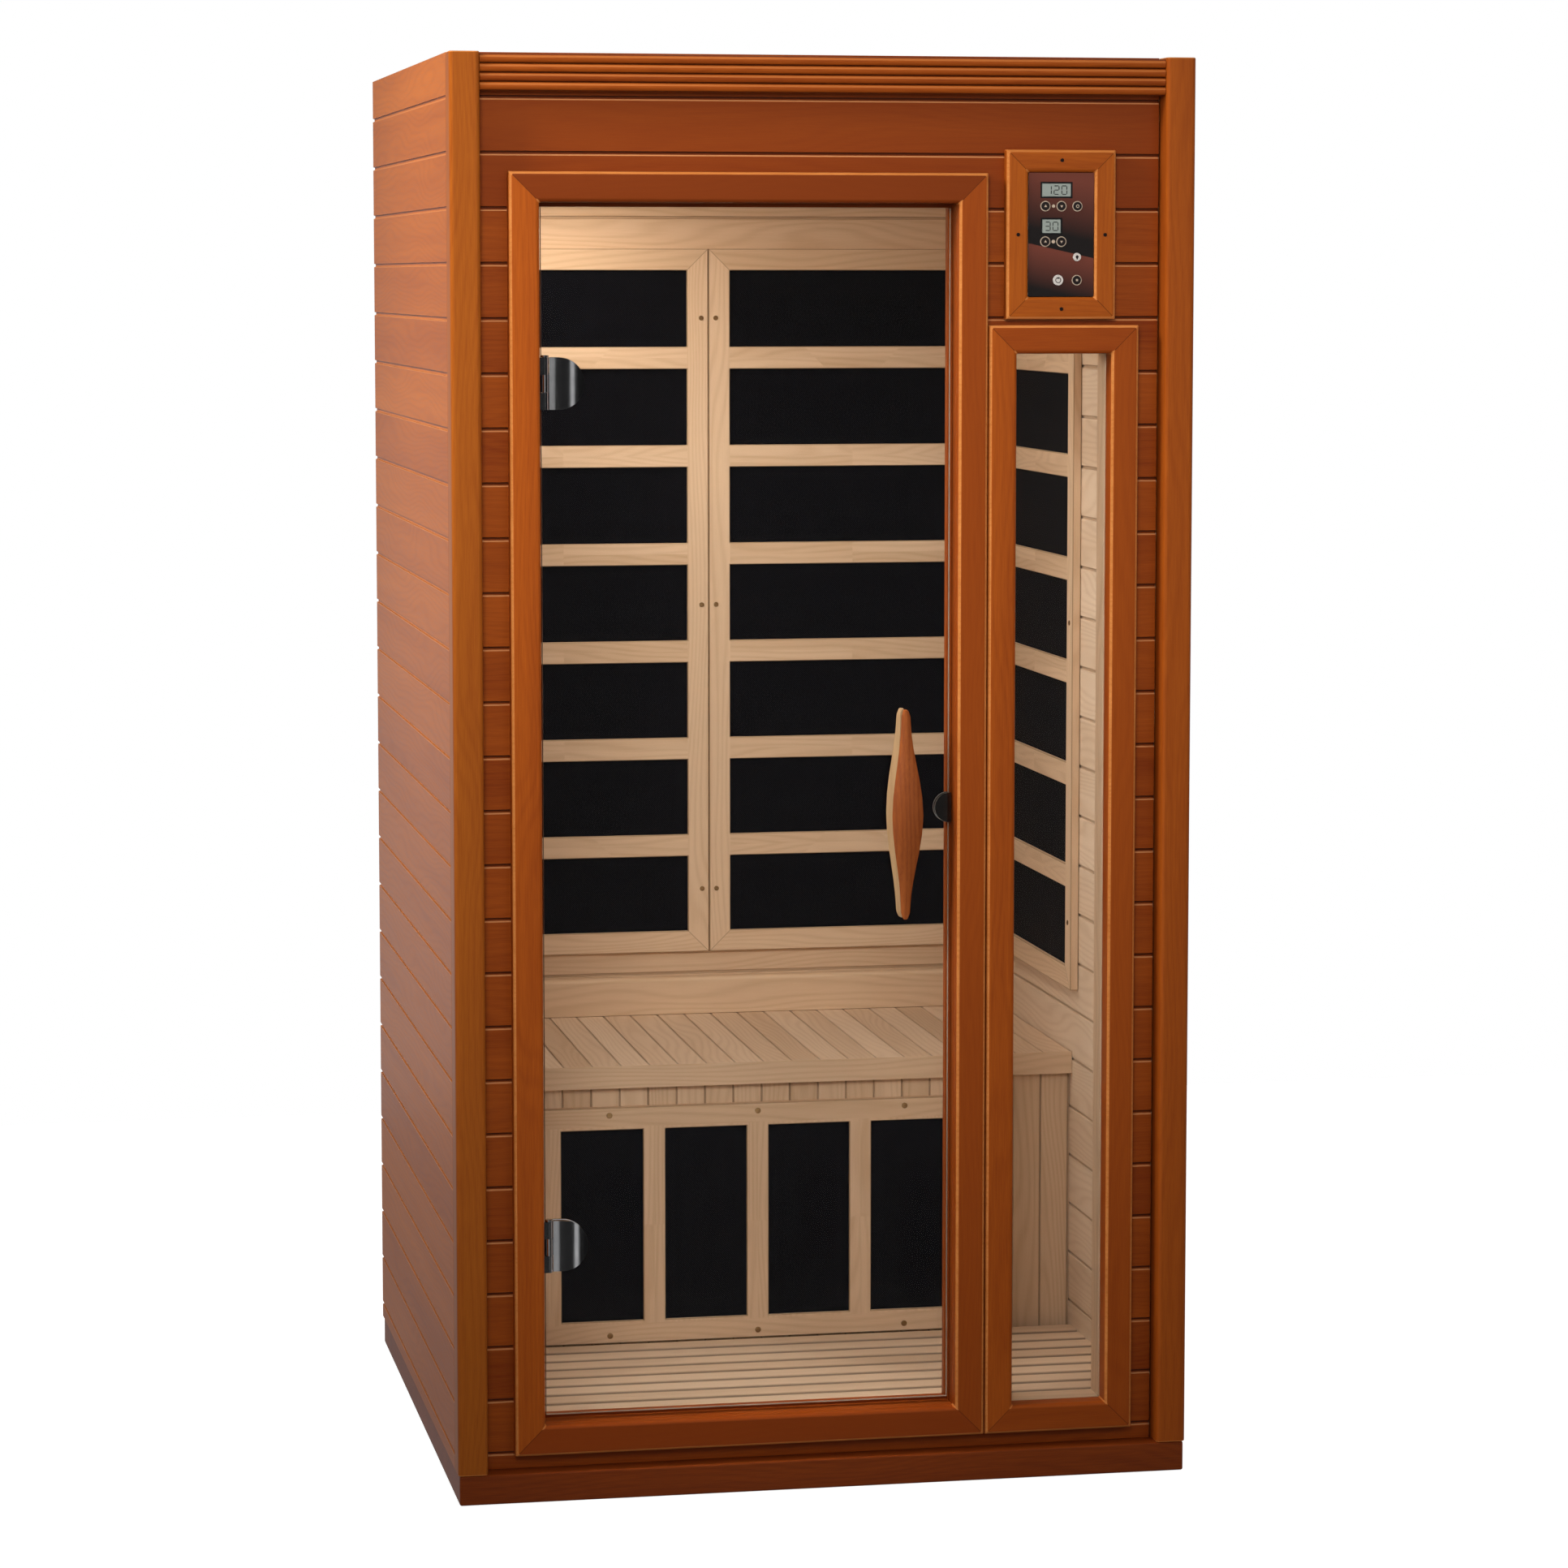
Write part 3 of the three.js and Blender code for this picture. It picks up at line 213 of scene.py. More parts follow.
def wood_shader(tree, shader, along, across, through, board, finish, marks=()):
    """Wires the grain into a wood material; each mark is a mask and the colour it brings in."""
    texture = put(tree, "ShaderNodeGroup", {"node_tree": grain})
    for name, value in (("Along", along), ("Across", across), ("Through", through), ("Board", board)):
        if isinstance(value, (int, float)):
            texture.inputs[name].default_value = value
        else:
            tree.links.new(value, texture.inputs[name])
    out = texture.outputs
    mixed = 0.5
    for name, middle in (("Streaks", 0.5), ("Rings", 0.37), ("Fibres", 0.5), ("Board tone", 0.5)):
        share = finish[name]
        mixed = sums(tree, "ADD", sums(tree, "MULTIPLY_ADD", out[name], share, -middle * share), mixed)
    mixed = sums(tree, "MINIMUM", sums(tree, "MAXIMUM", mixed, 0.0), 1.0)
    colour = blend_colours(tree, mixed, finish["dark"], finish["light"])
    for mask, mark_colour in marks:
        colour = blend_colours(tree, mask, colour, mark_colour)
    tree.links.new(colour, shader.inputs["Base Color"])
    rough = sums(tree, "MULTIPLY_ADD", out["Fibres"], 0.16, finish["roughness"] - 0.08)
    tree.links.new(rough, shader.inputs["Roughness"])
    bump = put(tree, "ShaderNodeBump", Strength=finish["relief"], Distance=0.0005)
    tree.links.new(sums(tree, "MULTIPLY_ADD", out["Rings"], -0.3, out["Fibres"]), bump.inputs["Height"])
    tree.links.new(bump.outputs["Normal"], shader.inputs["Normal"])
    shader.inputs["Specular IOR Level"].default_value = finish["gloss"]


def boarded(name, along, boards, pitch, start, finish, joints=(), shaded_from=None):
    """Wood whose grain runs along one axis and whose boards are counted along another."""
    material, tree, shader = fresh_material(name)
    axes = object_axes(tree)
    across, through = [axis for axis in "XYZ" if axis != along]
    if boards == through:
        across, through = through, across
    count = 0.0
    marks = []
    if pitch:
        steps = sums(tree, "DIVIDE", sums(tree, "SUBTRACT", axes[boards], start), pitch)
        count = sums(tree, "FLOOR", steps)
        for low, high, strength, colour in joints:
            part = sums(tree, "MULTIPLY", sums(tree, "FRACT", steps), pitch)
            past_low = sums(tree, "GREATER_THAN", part, low)
            inside = sums(tree, "MULTIPLY", past_low, sums(tree, "LESS_THAN", part, high))
            marks.append((sums(tree, "MULTIPLY", inside, strength), colour))
    # Painted shade: above the given height the boards are darkened.
    if shaded_from:
        above = sums(tree, "GREATER_THAN", axes[boards], shaded_from)
        marks.insert(0, (sums(tree, "MULTIPLY", above, 0.65), finish["dark"]))
    wood_shader(tree, shader, axes[along], axes[across], axes[through], count, finish, marks)
    return material


def plain_wood(name, along, across, finish):
    """Wood cut from one board, its grain along one axis."""
    return boarded(name, along, across, None, 0, finish)


cherry = {
    "light": (0.420, 0.092, 0.0090), "dark": (0.235, 0.040, 0.0052), "Streaks": 1.0, "Rings": -0.16,
    "Fibres": 1.0, "Board tone": 0.40, "roughness": 0.42, "relief": 0.10, "gloss": 0.15,
}
plinth_finish = dict(cherry, light=(0.290, 0.056, 0.0075), dark=(0.150, 0.024, 0.0042))
# Paler cherry for eased arrises: partly wear, partly a painted highlight where the rounded edges catch the
# light.
worn_finish = dict(cherry, light=(0.760, 0.290, 0.080), dark=(0.520, 0.155, 0.030))
worn_edge = plain_wood("worn_cherry", "X", "Z", worn_finish)
plinth_wood = plain_wood("plinth_cherry", "X", "Z", plinth_finish)
dress("base_plinth", "dark_cherry_wood", plinth_wood, arris=0.003, steps=3)

# Walls: panels of horizontal tongue-and-groove boards, cherry-stained outside and bare hemlock
# inside. Each joint is a channel between eased boards, with painted shade and a painted bright lower lip.
board_pitch = 0.07125
first_channel = 0.0575
channel_height = 0.009
channel_depth = 0.004
joint_low, joint_high = 0.0020, 0.0062
joint_depth = 0.0024
hemlock = {
    "light": (0.800, 0.600, 0.415), "dark": (0.600, 0.410, 0.250), "Streaks": 0.7, "Rings": -0.30,
    "Fibres": 0.5, "Board tone": 0.45, "roughness": 0.55, "relief": 0.08, "gloss": 0.2,
}
# A painted highlight on the lower lip of each joint, and along each reed of the cornice.
worn_lip = (0.640, 0.220, 0.060)
# Front joints: painted shade in the channel, a painted shadow under the upper board, a painted highlight on
# the lower lip.
front_joint = (
    (joint_low, joint_high, 0.45, (0.085, 0.016, 0.004)),
    (joint_high - 0.0022, joint_high + 0.0006, 0.80, (0.050, 0.010, 0.003)),
    (joint_low - 0.0014, joint_low + 0.0005, 0.80, (0.760, 0.330, 0.130)),
)
# Side and back joints: a painted shadow under the upper board and a painted highlight on the lower lip.
side_joint = (
    (joint_high - 0.0016, joint_high + 0.0003, 0.55, (0.085, 0.016, 0.004)),
    (joint_low - 0.0014, joint_low + 0.0012, 0.75, worn_lip),
)
# Inside joints: painted shade in the channel.
bare_joint = ((joint_low, joint_high, 0.50, (0.300, 0.180, 0.100)),)
# The frieze under the cornice is darkened from here up, as painted shadow of the cornice.
frieze_shadow_from = first_channel + 23 * board_pitch
# The side walls take a lighter copy of the cherry: painted light, for the stronger light on the sides.
side_lit_finish = dict(cherry, light=(0.580, 0.155, 0.0140), dark=(0.370, 0.080, 0.0080))
level_boards = ("Z", board_pitch, first_channel)
outside_front = boarded("front_cherry", "X", *level_boards, cherry, front_joint, frieze_shadow_from)
outside_back = boarded("back_cherry", "X", *level_boards, cherry, side_joint)
outside_side = boarded("side_cherry", "Y", *level_boards, side_lit_finish, side_joint)
inside_x = boarded("boards_hemlock_x", "X", *level_boards, hemlock, bare_joint)
paler_finish = dict(hemlock, light=(0.840, 0.680, 0.520), dark=(0.650, 0.480, 0.330))
inside_y = boarded("boards_hemlock_y", "Y", *level_boards, paler_finish, bare_joint)


def natural_inside(piece, middle):
    """Leaves the wood bare on the cabin's side of the wall's middle plane, but not on its ends."""
    skin = 0.0005
    top, back = cad_box[1].z - skin, cad_box[1].y - skin
    for face in piece.data.polygons:
        inward = -face.center.dot(middle.normalized())
        covered = face.center.z < top and abs(face.center.y) < back
        face.material_index = 1 if inward > -middle.length and covered else 0


def pick_points(piece, chosen):
    """Opens a piece with only those points selected that a test of their place picks."""
    bpy.ops.object.mode_set(mode="EDIT")
    bpy.ops.mesh.select_mode(type="VERT")
    bpy.ops.mesh.select_all(action="DESELECT")
    bpy.ops.object.mode_set(mode="OBJECT")
    for point in piece.data.vertices:
        point.select = chosen(point.co)
    bpy.ops.object.mode_set(mode="EDIT")


def shift_points(piece, chosen, step):
    """Moves the points of a piece that a test of their place picks."""
    pick_points(piece, chosen)
    bpy.ops.transform.translate(value=step)
    bpy.ops.object.mode_set(mode="OBJECT")


def close_joints(panel, axis, outer, inner):
    """Draws each channel in to the narrow joint that the boards show once they are stained."""

    def at_height(place, height):
        slack = 0.0005
        return (place.z - first_channel - height + slack) % board_pitch < 2 * slack

    shift_points(panel, lambda place: at_height(place, 0), (0, 0, joint_low))
    shift_points(panel, lambda place: at_height(place, channel_height), (0, 0, joint_high - channel_height))
    for floor_of, way in ((outer + channel_depth, -1), (inner - channel_depth, 1)):
        step = [0, 0, 0]
        step[axis] = way * (channel_depth - joint_depth)
        shift_points(panel, lambda place: abs(place[axis] - floor_of) < 0.0002, step)


for node, skins in (
    ("left_wall", (outside_side, inside_y)),
    ("right_wall", (outside_side, inside_y)),
    ("back_wall", (outside_back, inside_x)),
    ("front_wall", (outside_front, inside_x)),
):
    low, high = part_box(node)
    axis = 0 if node in ("left_wall", "right_wall") else 1
    joints_of_wall = lambda panel: close_joints(panel, axis, low[axis], high[axis])
    wall = dress(node, "cherry_wood", *skins, arris=0.0009, steps=2, shaping=joints_of_wall)
    middle = (low + high) / 2
    middle.z = 0
    if axis == 0:
        middle.y = 0
    natural_inside(wall, middle)

# Corner posts: solid cherry-stained uprights screwed to the side and front walls, with the front
# arrises rounded over, and the reeded cornice moulding let in between their heads.
post_finish = dict(cherry, light=(0.470, 0.130, 0.0120), dark=(0.295, 0.064, 0.0068))
redder_finish = dict(cherry, light=(0.480, 0.112, 0.0105), dark=(0.295, 0.054, 0.0060))
for side, finish in (("left", post_finish), ("right", redder_finish)):
    wood = plain_wood(f"post_cherry_{side}", "Z", "X", finish)
    # The posts' arrises take the paler cherry: partly wear, partly painted highlight.
    dress(f"corner_post_{side}", "cherry_wood", wood, worn_edge, arris=0.0015, steps=2, worn=worn_edge)
reed_pitch = 0.01175
reed_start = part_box("cornice_moulding")[0].z
reed_shadow = (0.050, 0.010, 0.003)
# Painted shadow in the grooves between the reeds and a painted highlight along each reed.
reed_shading = (
    (0.0, 0.0013, 0.75, reed_shadow),
    (reed_pitch - 0.0010, reed_pitch, 0.75, reed_shadow),
    (0.0072, 0.0098, 0.50, worn_lip),
)
reeded = boarded("cornice_cherry", "X", "Z", reed_pitch, reed_start, cherry, reed_shading)
dress("cornice_moulding", "dark_cherry_wood", reeded, arris=0.0006, steps=1, merge_flats=False)

# Ceiling: a bare hemlock panel with the vent's runners on it, let in between the walls, with the
# round lamp set in it and the sliding vent shutter under it.
ceiling_pitch = 0.09
ceiling_wood = boarded("ceiling_hemlock", "X", "Y", ceiling_pitch, 0, hemlock)
dress("ceiling_panel", "hemlock_wood", ceiling_wood, arris=0.0008, steps=1)
shutter_wood = plain_wood("shutter_hemlock", "X", "Y", hemlock)
dress("vent_shutter", "hemlock_wood", shutter_wood, body="vent_shutter", arris=0.001, steps=2)


def noise_at(tree, place, scale, detail):
    """Plain noise, read at a place."""
    noise = put(tree, "ShaderNodeTexNoise", Scale=scale, Detail=detail)
    tree.links.new(place, noise.inputs["Vector"])
    return noise.outputs[0]


def moulded(name, colour, roughness, mottle=0.08, metallic=0.0):
    """Plain moulded or painted stuff: an even colour broken by a faint mottle and fine texture."""
    material, tree, shader = fresh_material(name)
    place = object_place(tree)
    speck = noise_at(tree, place, 900, 2.0)
    cloud = noise_at(tree, place, 35, 3.0)
    darker = tuple(value * (1 - 2 * mottle) for value in colour)
    lighter = tuple(min(1, value * (1 + mottle)) for value in colour)
    tree.links.new(blend_colours(tree, cloud, darker, lighter), shader.inputs["Base Color"])
    rough = sums(tree, "MULTIPLY_ADD", speck, 0.14, roughness - 0.07)
    tree.links.new(rough, shader.inputs["Roughness"])
    bump = put(tree, "ShaderNodeBump", Strength=0.1, Distance=0.0002)
    tree.links.new(speck, bump.inputs["Height"])
    tree.links.new(bump.outputs["Normal"], shader.inputs["Normal"])
    shader.inputs["Metallic"].default_value = metallic
    return material


lamp_opal = moulded("lamp_opal", (0.86, 0.83, 0.76), 0.35, 0.02)
dress("ceiling_lamp", "white_plastic", lamp_opal, arris=0.004, steps=3)

# Roof cover: a shallow tray of plywood that keeps dust off the wiring, dropped in between the wall
# tops, with the power unit under it and the mains gland screwed through it.
roof_ply = plain_wood("roof_ply", "X", "Y", hemlock)
dress("roof_cover", "hemlock_wood", roof_ply, arris=0.001, steps=1)
unit_grey = moulded("unit_grey", (0.27, 0.28, 0.29), 0.5)
dress("power_unit", "grey_metal", unit_grey, arris=0.0015, steps=2)
black_moulded = moulded("gland_black", (0.022, 0.021, 0.021), 0.5)
dress("cable_gland", "black_plastic", black_moulded, arris=0.0008, steps=1, merge_flats=False)

# Door frame: a rebated jamb set in the front wall, a mitred architrave planted on the outside and
# a natural trim on the inside. The mitres close to a hairline, and the grain turns at each one.
mitre = bpy.data.node_groups.new("mitred_rails", "ShaderNodeTree")
for socket in ("Across", "Up", "Half width", "Half height"):
    mitre.interface.new_socket(socket, in_out="INPUT", socket_type="NodeSocketFloat")
for socket in ("Upright", "Rail", "Hairline", "Inside", "Between"):
    mitre.interface.new_socket(socket, in_out="OUTPUT", socket_type="NodeSocketFloat")
mitre_in = mitre.nodes.new("NodeGroupInput")
mitre_out = mitre.nodes.new("NodeGroupOutput")
mitre_across, mitre_up = mitre_in.outputs["Across"], mitre_in.outputs["Up"]
beyond_x = sums(mitre, "SUBTRACT", sums(mitre, "ABSOLUTE", mitre_across), mitre_in.outputs["Half width"])
beyond_z = sums(mitre, "SUBTRACT", sums(mitre, "ABSOLUTE", mitre_up), mitre_in.outputs["Half height"])
lean = sums(mitre, "SUBTRACT", beyond_x, beyond_z)
standing = sums(mitre, "GREATER_THAN", lean, 0.0)
right_side = sums(mitre, "ADD", sums(mitre, "GREATER_THAN", mitre_across, 0.0), 2.0)
top_side = sums(mitre, "GREATER_THAN", mitre_up, 0.0)
number = sums(mitre, "MULTIPLY_ADD", sums(mitre, "SUBTRACT", right_side, top_side), standing, top_side)
joint = sums(mitre, "LESS_THAN", sums(mitre, "ABSOLUTE", lean), 0.0006)
joint = sums(mitre, "MULTIPLY", joint, sums(mitre, "GREATER_THAN", beyond_x, -0.0005))
between = sums(mitre, "LESS_THAN", beyond_z, 0.0)
inside = sums(mitre, "MULTIPLY", sums(mitre, "LESS_THAN", beyond_x, 0.0), between)
for socket, value in (
    ("Upright", standing), ("Rail", number), ("Hairline", joint), ("Inside", inside), ("Between", between),
):
    mitre.links.new(value, mitre_out.inputs[socket])


def mitred_wood(name, centre, half, finish, seam, run="X", bars=0.0, butted=False, shades=(0.0, 0.0, 0.0)):
    """Wood for a frame: grain along each rail, stile or bar, and joints that show as hairlines.

    The shades darken the level rails, the top rail and the right-hand stile; on that stile it is painted
    shade, as less light falls there."""
    material, tree, shader = fresh_material(name)
    axes = object_axes(tree)
    level = sums(tree, "SUBTRACT", axes[run], centre[0])
    up = sums(tree, "SUBTRACT", axes["Z"], centre[1])
    through = axes["Y" if run == "X" else "X"]
    rails = put(tree, "ShaderNodeGroup", {"node_tree": mitre}, Half_width=half[0], Half_height=half[1])
    tree.links.new(level, rails.inputs["Across"])
    tree.links.new(up, rails.inputs["Up"])
    turn = rails.outputs["Upright"]
    board = rails.outputs["Rail"]
    if butted:
        turn = rails.outputs["Between"]
        stiles = sums(tree, "ADD", sums(tree, "FLOOR", sums(tree, "DIVIDE", level, bars)), 9.0)
        board = sums(tree, "MULTIPLY_ADD", turn, stiles, sums(tree, "GREATER_THAN", up, 0.0))
    elif bars:
        turn = sums(tree, "MULTIPLY", turn, sums(tree, "SUBTRACT", 1.0, rails.outputs["Inside"]))
        levels = sums(tree, "ADD", sums(tree, "ROUND", sums(tree, "DIVIDE", up, bars)), 9.0)
        board = sums(tree, "MULTIPLY_ADD", rails.outputs["Inside"], levels, board)
    along = sums(tree, "MULTIPLY_ADD", sums(tree, "SUBTRACT", up, level), turn, level)
    across = sums(tree, "MULTIPLY_ADD", sums(tree, "SUBTRACT", level, up), turn, up)
    hairline = sums(tree, "MULTIPLY", rails.outputs["Hairline"], 0.0 if butted else 0.65)
    lying = sums(tree, "SUBTRACT", 1.0, turn)
    # Painted shade on the right-hand stile.
    right_stile = sums(tree, "MULTIPLY", sums(tree, "GREATER_THAN", level, 0.0), shades[1])
    shade = sums(tree, "MULTIPLY_ADD", turn, right_stile, sums(tree, "MULTIPLY", lying, shades[0]))
    top_rail = sums(tree, "MULTIPLY", sums(tree, "GREATER_THAN", up, 0.0), lying)
    top_shade = sums(tree, "MULTIPLY", top_rail, shades[2])
    marks = [(shade, finish["dark"]), (top_shade, seam), (hairline, seam)]
    wood_shader(tree, shader, along, across, through, board, finish, marks)
    return material


def opening_of(node, rail):
    """Centre and half sizes of the opening that a frame of this rail width goes round."""
    low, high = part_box(node)
    centre = ((low.x + high.x) / 2, (low.z + high.z) / 2)
    half = ((high.x - low.x) / 2 - rail, (high.z - low.z) / 2 - rail)
    return centre, half


def wear_and_highlight_arris(frame_piece, node):
    """The outer arris of a stained frame is rubbed to a lighter tone; every left-facing arris takes it as a
    painted highlight.
    """
    low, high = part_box(node)
    arris_width = 0.010
    for face in frame_piece.data.polygons:
        spot = face.center
        rim = min(spot.x - low.x, high.x - spot.x, spot.z - low.z, high.z - spot.z)
        paler_face = rim < arris_width or face.normal.x < -0.3
        if paler_face and 0.5 < -face.normal.y < 0.87:
            face.material_index = 1


stain_seam, bare_seam = (0.045, 0.010, 0.003), (0.22, 0.13, 0.07)
frame_finish = dict(cherry, light=(0.490, 0.108, 0.0095), dark=(0.290, 0.050, 0.0055))
# The frames' arrises take the paler cherry: partly wear, partly painted highlight.
frame_easing = {"arris": 0.0015, "steps": 2, "merge_flats": False, "worn": worn_edge}
jamb_rail, door_rail = 0.014, 0.040
jamb_finish = dict(cherry, light=(0.360, 0.075, 0.0090), dark=(0.200, 0.034, 0.0050))
jamb_wood = mitred_wood("jamb_cherry", *opening_of("door_jamb", jamb_rail), jamb_finish, stain_seam)
dress("door_jamb", "dark_cherry_wood", jamb_wood, arris=0.001, steps=2)
door_opening = opening_of("door_architrave", door_rail)
door_wood = mitred_wood("door_cherry", *door_opening, frame_finish, stain_seam, shades=(0.85, 0.5, 0.30))
architrave = dress("door_architrave", "cherry_wood", door_wood, worn_edge, **frame_easing)
wear_and_highlight_arris(architrave, "door_architrave")
trim_wood = mitred_wood("trim_hemlock", *opening_of("door_inner_trim", door_rail), hemlock, bare_seam)
dress("door_inner_trim", "hemlock_wood", trim_wood, arris=0.002, steps=2, merge_flats=False)
dress("magnet_catch", "black_plastic", black_moulded, arris=0.001, steps=2)

# Side window: a mitred architrave with its bead outside, a natural lining with its trim inside,
# and a fixed pane of clear glass held between them.
window_rail = 0.038
window_opening = opening_of("window_architrave", window_rail)
window_wood = mitred_wood("window_cherry", *window_opening, frame_finish, stain_seam, shades=(0.4, 0.4, 0.0))
window_frame = dress("window_architrave", "cherry_wood", window_wood, worn_edge, **frame_easing)
wear_and_highlight_arris(window_frame, "window_architrave")
lining_wood = mitred_wood("lining_hemlock", *window_opening, hemlock, bare_seam)
dress("window_lining", "hemlock_wood", lining_wood, arris=0.0015, steps=2, merge_flats=False)


def mix_shaders(tree, factor, first, second, output):
    """Sends a mix of two shaders to the output node."""
    mix = put(tree, "ShaderNodeMixShader")
    for place, value in enumerate((factor, first.outputs[0], second.outputs[0])):
        tree.links.new(value, mix.inputs[place])
    tree.links.new(mix.outputs[0], tree.nodes[output].inputs["Surface"])


def sheet_glass(name):
    """Clear float glass: light for the cabin passes it, and it is broken only by a faint film."""
    material, tree, shader = fresh_material(name)
    shader.inputs["Transmission Weight"].default_value = 1.0
    shader.inputs["IOR"].default_value = 1.12
    film = noise_at(tree, object_place(tree), 3.5, 4.0)
    tree.links.new(sums(tree, "MULTIPLY", film, 0.02), shader.inputs["Roughness"])
    tint = blend_colours(tree, film, (0.965, 0.975, 0.970), (0.99, 0.99, 0.985))
    tree.links.new(tint, shader.inputs["Base Color"])
    rays = put(tree, "ShaderNodeLightPath").outputs
    unseen = sums(tree, "MAXIMUM", rays["Is Shadow Ray"], rays["Is Diffuse Ray"])
    mix_shaders(tree, unseen, shader, put(tree, "ShaderNodeBsdfTransparent"), "Material Output")
    return material


def polished_edge(piece):
    """The cut edges and drilled holes of a glass sheet take the edge finish."""
    for face in piece.data.polygons:
        face.material_index = 0 if abs(face.normal.y) > 0.9 else 1


clear_glass = sheet_glass("clear_glass")
glass_edge = moulded("glass_edge", (0.36, 0.26, 0.20), 0.25, 0.1)
pane = dress("window_glass", "clear_glass", clear_glass, glass_edge, arris=0.0006, steps=1)
polished_edge(pane)

# Floor: a duckboard of rounded hemlock slats nailed to bearers. It is left bare and lies loose on
# the plinth, so that it lifts out to be cleaned.
slat_pitch = 0.04797
slat_width = 0.042
slat_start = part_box("floor_duckboard")[0].y
floor_finish = dict(hemlock, light=(0.800, 0.615, 0.440), dark=(0.600, 0.425, 0.280), Rings=-0.12)
# Painted shadow at the gaps: each slat darkens towards the edges where it meets the next.
slat_gap_shadow = (
    (0.0, 0.0050, 0.40, (0.250, 0.155, 0.090)),
    (0.0, 0.0028, 0.66, (0.090, 0.054, 0.031)),
    (slat_width - 0.0060, slat_pitch, 0.45, (0.150, 0.090, 0.050)),
)
slat_wood = boarded("slat_hemlock", "X", "Y", slat_pitch, slat_start, floor_finish, slat_gap_shadow)
dress("floor_duckboard", "hemlock_wood", slat_wood, arris=0.0008, steps=1)

# Bench: a front of upright tongue-and-groove boards, a top of boards that run front to back behind
# a nosing rail, and a rail along the back wall. All are bare hemlock, pinned to battens.
bench_pitch = 0.041
bench_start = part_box("bench_front")[0].x
bench_joint = ((0.0002, 0.0028, 0.55, (0.200, 0.120, 0.065)),)
front_boards = boarded("bench_front_hemlock", "Z", "X", bench_pitch, bench_start, hemlock, bench_joint)
dress("bench_front", "hemlock_wood", front_boards, arris=0.0008, steps=1)
bench_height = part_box("bench_top")[1].z
bench_groove = 0.003


def shallow_grooves(panel):
    """The top boards meet in a shallow vee, so the grooves keep half of their depth."""
    groove_floor = bench_height - bench_groove
    rise = (0, 0, bench_groove / 2)
    shift_points(panel, lambda place: abs(place.z - groove_floor) < 0.0002, rise)


bench_finish = dict(hemlock, light=(0.810, 0.625, 0.460), dark=(0.620, 0.435, 0.285))
bench_finish["Board tone"] = 0.75
nosing_depth = 0.025
nosing_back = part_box("bench_top")[0].y + nosing_depth
bench_boards = boarded("bench_top_hemlock", "Y", "X", bench_pitch, bench_start, bench_finish, bench_joint)
nosing_wood = plain_wood("nosing_hemlock", "X", "Z", hemlock)
bench_easing = {"arris": 0.0005, "steps": 1, "shaping": shallow_grooves}
bench_top = dress("bench_top", "hemlock_wood", bench_boards, nosing_wood, **bench_easing)
for face in bench_top.data.polygons:
    face.material_index = 1 if face.center.y < nosing_back else 0
dress("bench_back_rail", "hemlock_wood", nosing_wood, arris=0.0015, steps=2)

# Heaters: flat carbon panels faced with a fine black weave, each behind a hemlock grille whose bars
# are halved into its stiles. Countersunk screws hold the grilles to the boards.
thread_width = 0.0032
weave, weave_tree, weave_shader = fresh_material("carbon_weave")
weave_axes = object_axes(weave_tree)
thread = 2 * math.pi / thread_width
level = sums(weave_tree, "ADD", weave_axes["X"], weave_axes["Y"])
warp = sums(weave_tree, "SINE", sums(weave_tree, "MULTIPLY", level, thread))
weft = sums(weave_tree, "SINE", sums(weave_tree, "MULTIPLY", weave_axes["Z"], thread))
cloth = sums(weave_tree, "MULTIPLY_ADD", sums(weave_tree, "MULTIPLY", warp, weft), 0.5, 0.5)
lint = noise_at(weave_tree, object_place(weave_tree), 55, 4.0)
thread_mix = sums(weave_tree, "MULTIPLY", cloth, lint)
weave_colour = blend_colours(weave_tree, thread_mix, (0.0015, 0.0015, 0.0023), (0.0080, 0.0080, 0.0115))
weave_tree.links.new(weave_colour, weave_shader.inputs["Base Color"])
weave_tree.links.new(sums(weave_tree, "MULTIPLY_ADD", cloth, 0.2, 0.6), weave_shader.inputs["Roughness"])
weave_bump = put(weave_tree, "ShaderNodeBump", Strength=0.25, Distance=0.0004)
weave_tree.links.new(cloth, weave_bump.inputs["Height"])
weave_tree.links.new(weave_bump.outputs["Normal"], weave_shader.inputs["Normal"])
weave_shader.inputs["Specular IOR Level"].default_value = 0.06

grille_rim = 0.032
bar_pitch = 0.147
calf_rail = 0.0278
calf_pitch = 0.1495
# The grilles' arrises take a darker hemlock: a painted shadow line round every rail and bar.
shadow_line_finish = dict(hemlock, light=(0.520, 0.360, 0.220), dark=(0.360, 0.235, 0.135))
shadow_line_edge = plain_wood("shadow_line_hemlock", "Z", "X", shadow_line_finish)
for side in ("back_left", "back_right", "left", "right", "calf"):
    dress(f"heater_{side}", "carbon_fabric", weave, arris=0.0005, steps=1)
    node = f"grille_{side}"
    low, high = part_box(node)
    run = 1 if side in ("left", "right") else 0
    calf = side == "calf"
    rim, pitch = (calf_rail, calf_pitch) if calf else (grille_rim, bar_pitch)
    centre = ((low[run] + high[run]) / 2, (low.z + high.z) / 2)
    half = ((high[run] - low[run]) / 2 - rim, (high.z - low.z) / 2 - rim)
    wood = mitred_wood(f"{node}_wood", centre, half, hemlock, bare_seam, "XY"[run], pitch, calf)
    dress(node, "hemlock_wood", wood, shadow_line_edge, arris=0.0012, steps=2, worn=shadow_line_edge)

# Grille and bezel screws: small countersunk heads with a round socket, brass in the grilles and
# dark in the bezel, driven in until they stand all but flush with the wood.


def join_as(name, pieces):
    """Joins like pieces to one mesh under one name."""
    bpy.ops.object.select_all(action="DESELECT")
    for piece in pieces:
        piece.select_set(True)
    bpy.context.view_layer.objects.active = pieces[0]
    bpy.ops.object.join()
    pieces[0].name = name
    return pieces[0]


def fix_on(piece, body, material):
    """Finishes an added piece and fixes it to the body that carries it."""
    finish_with(piece, material)
    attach(piece, body)


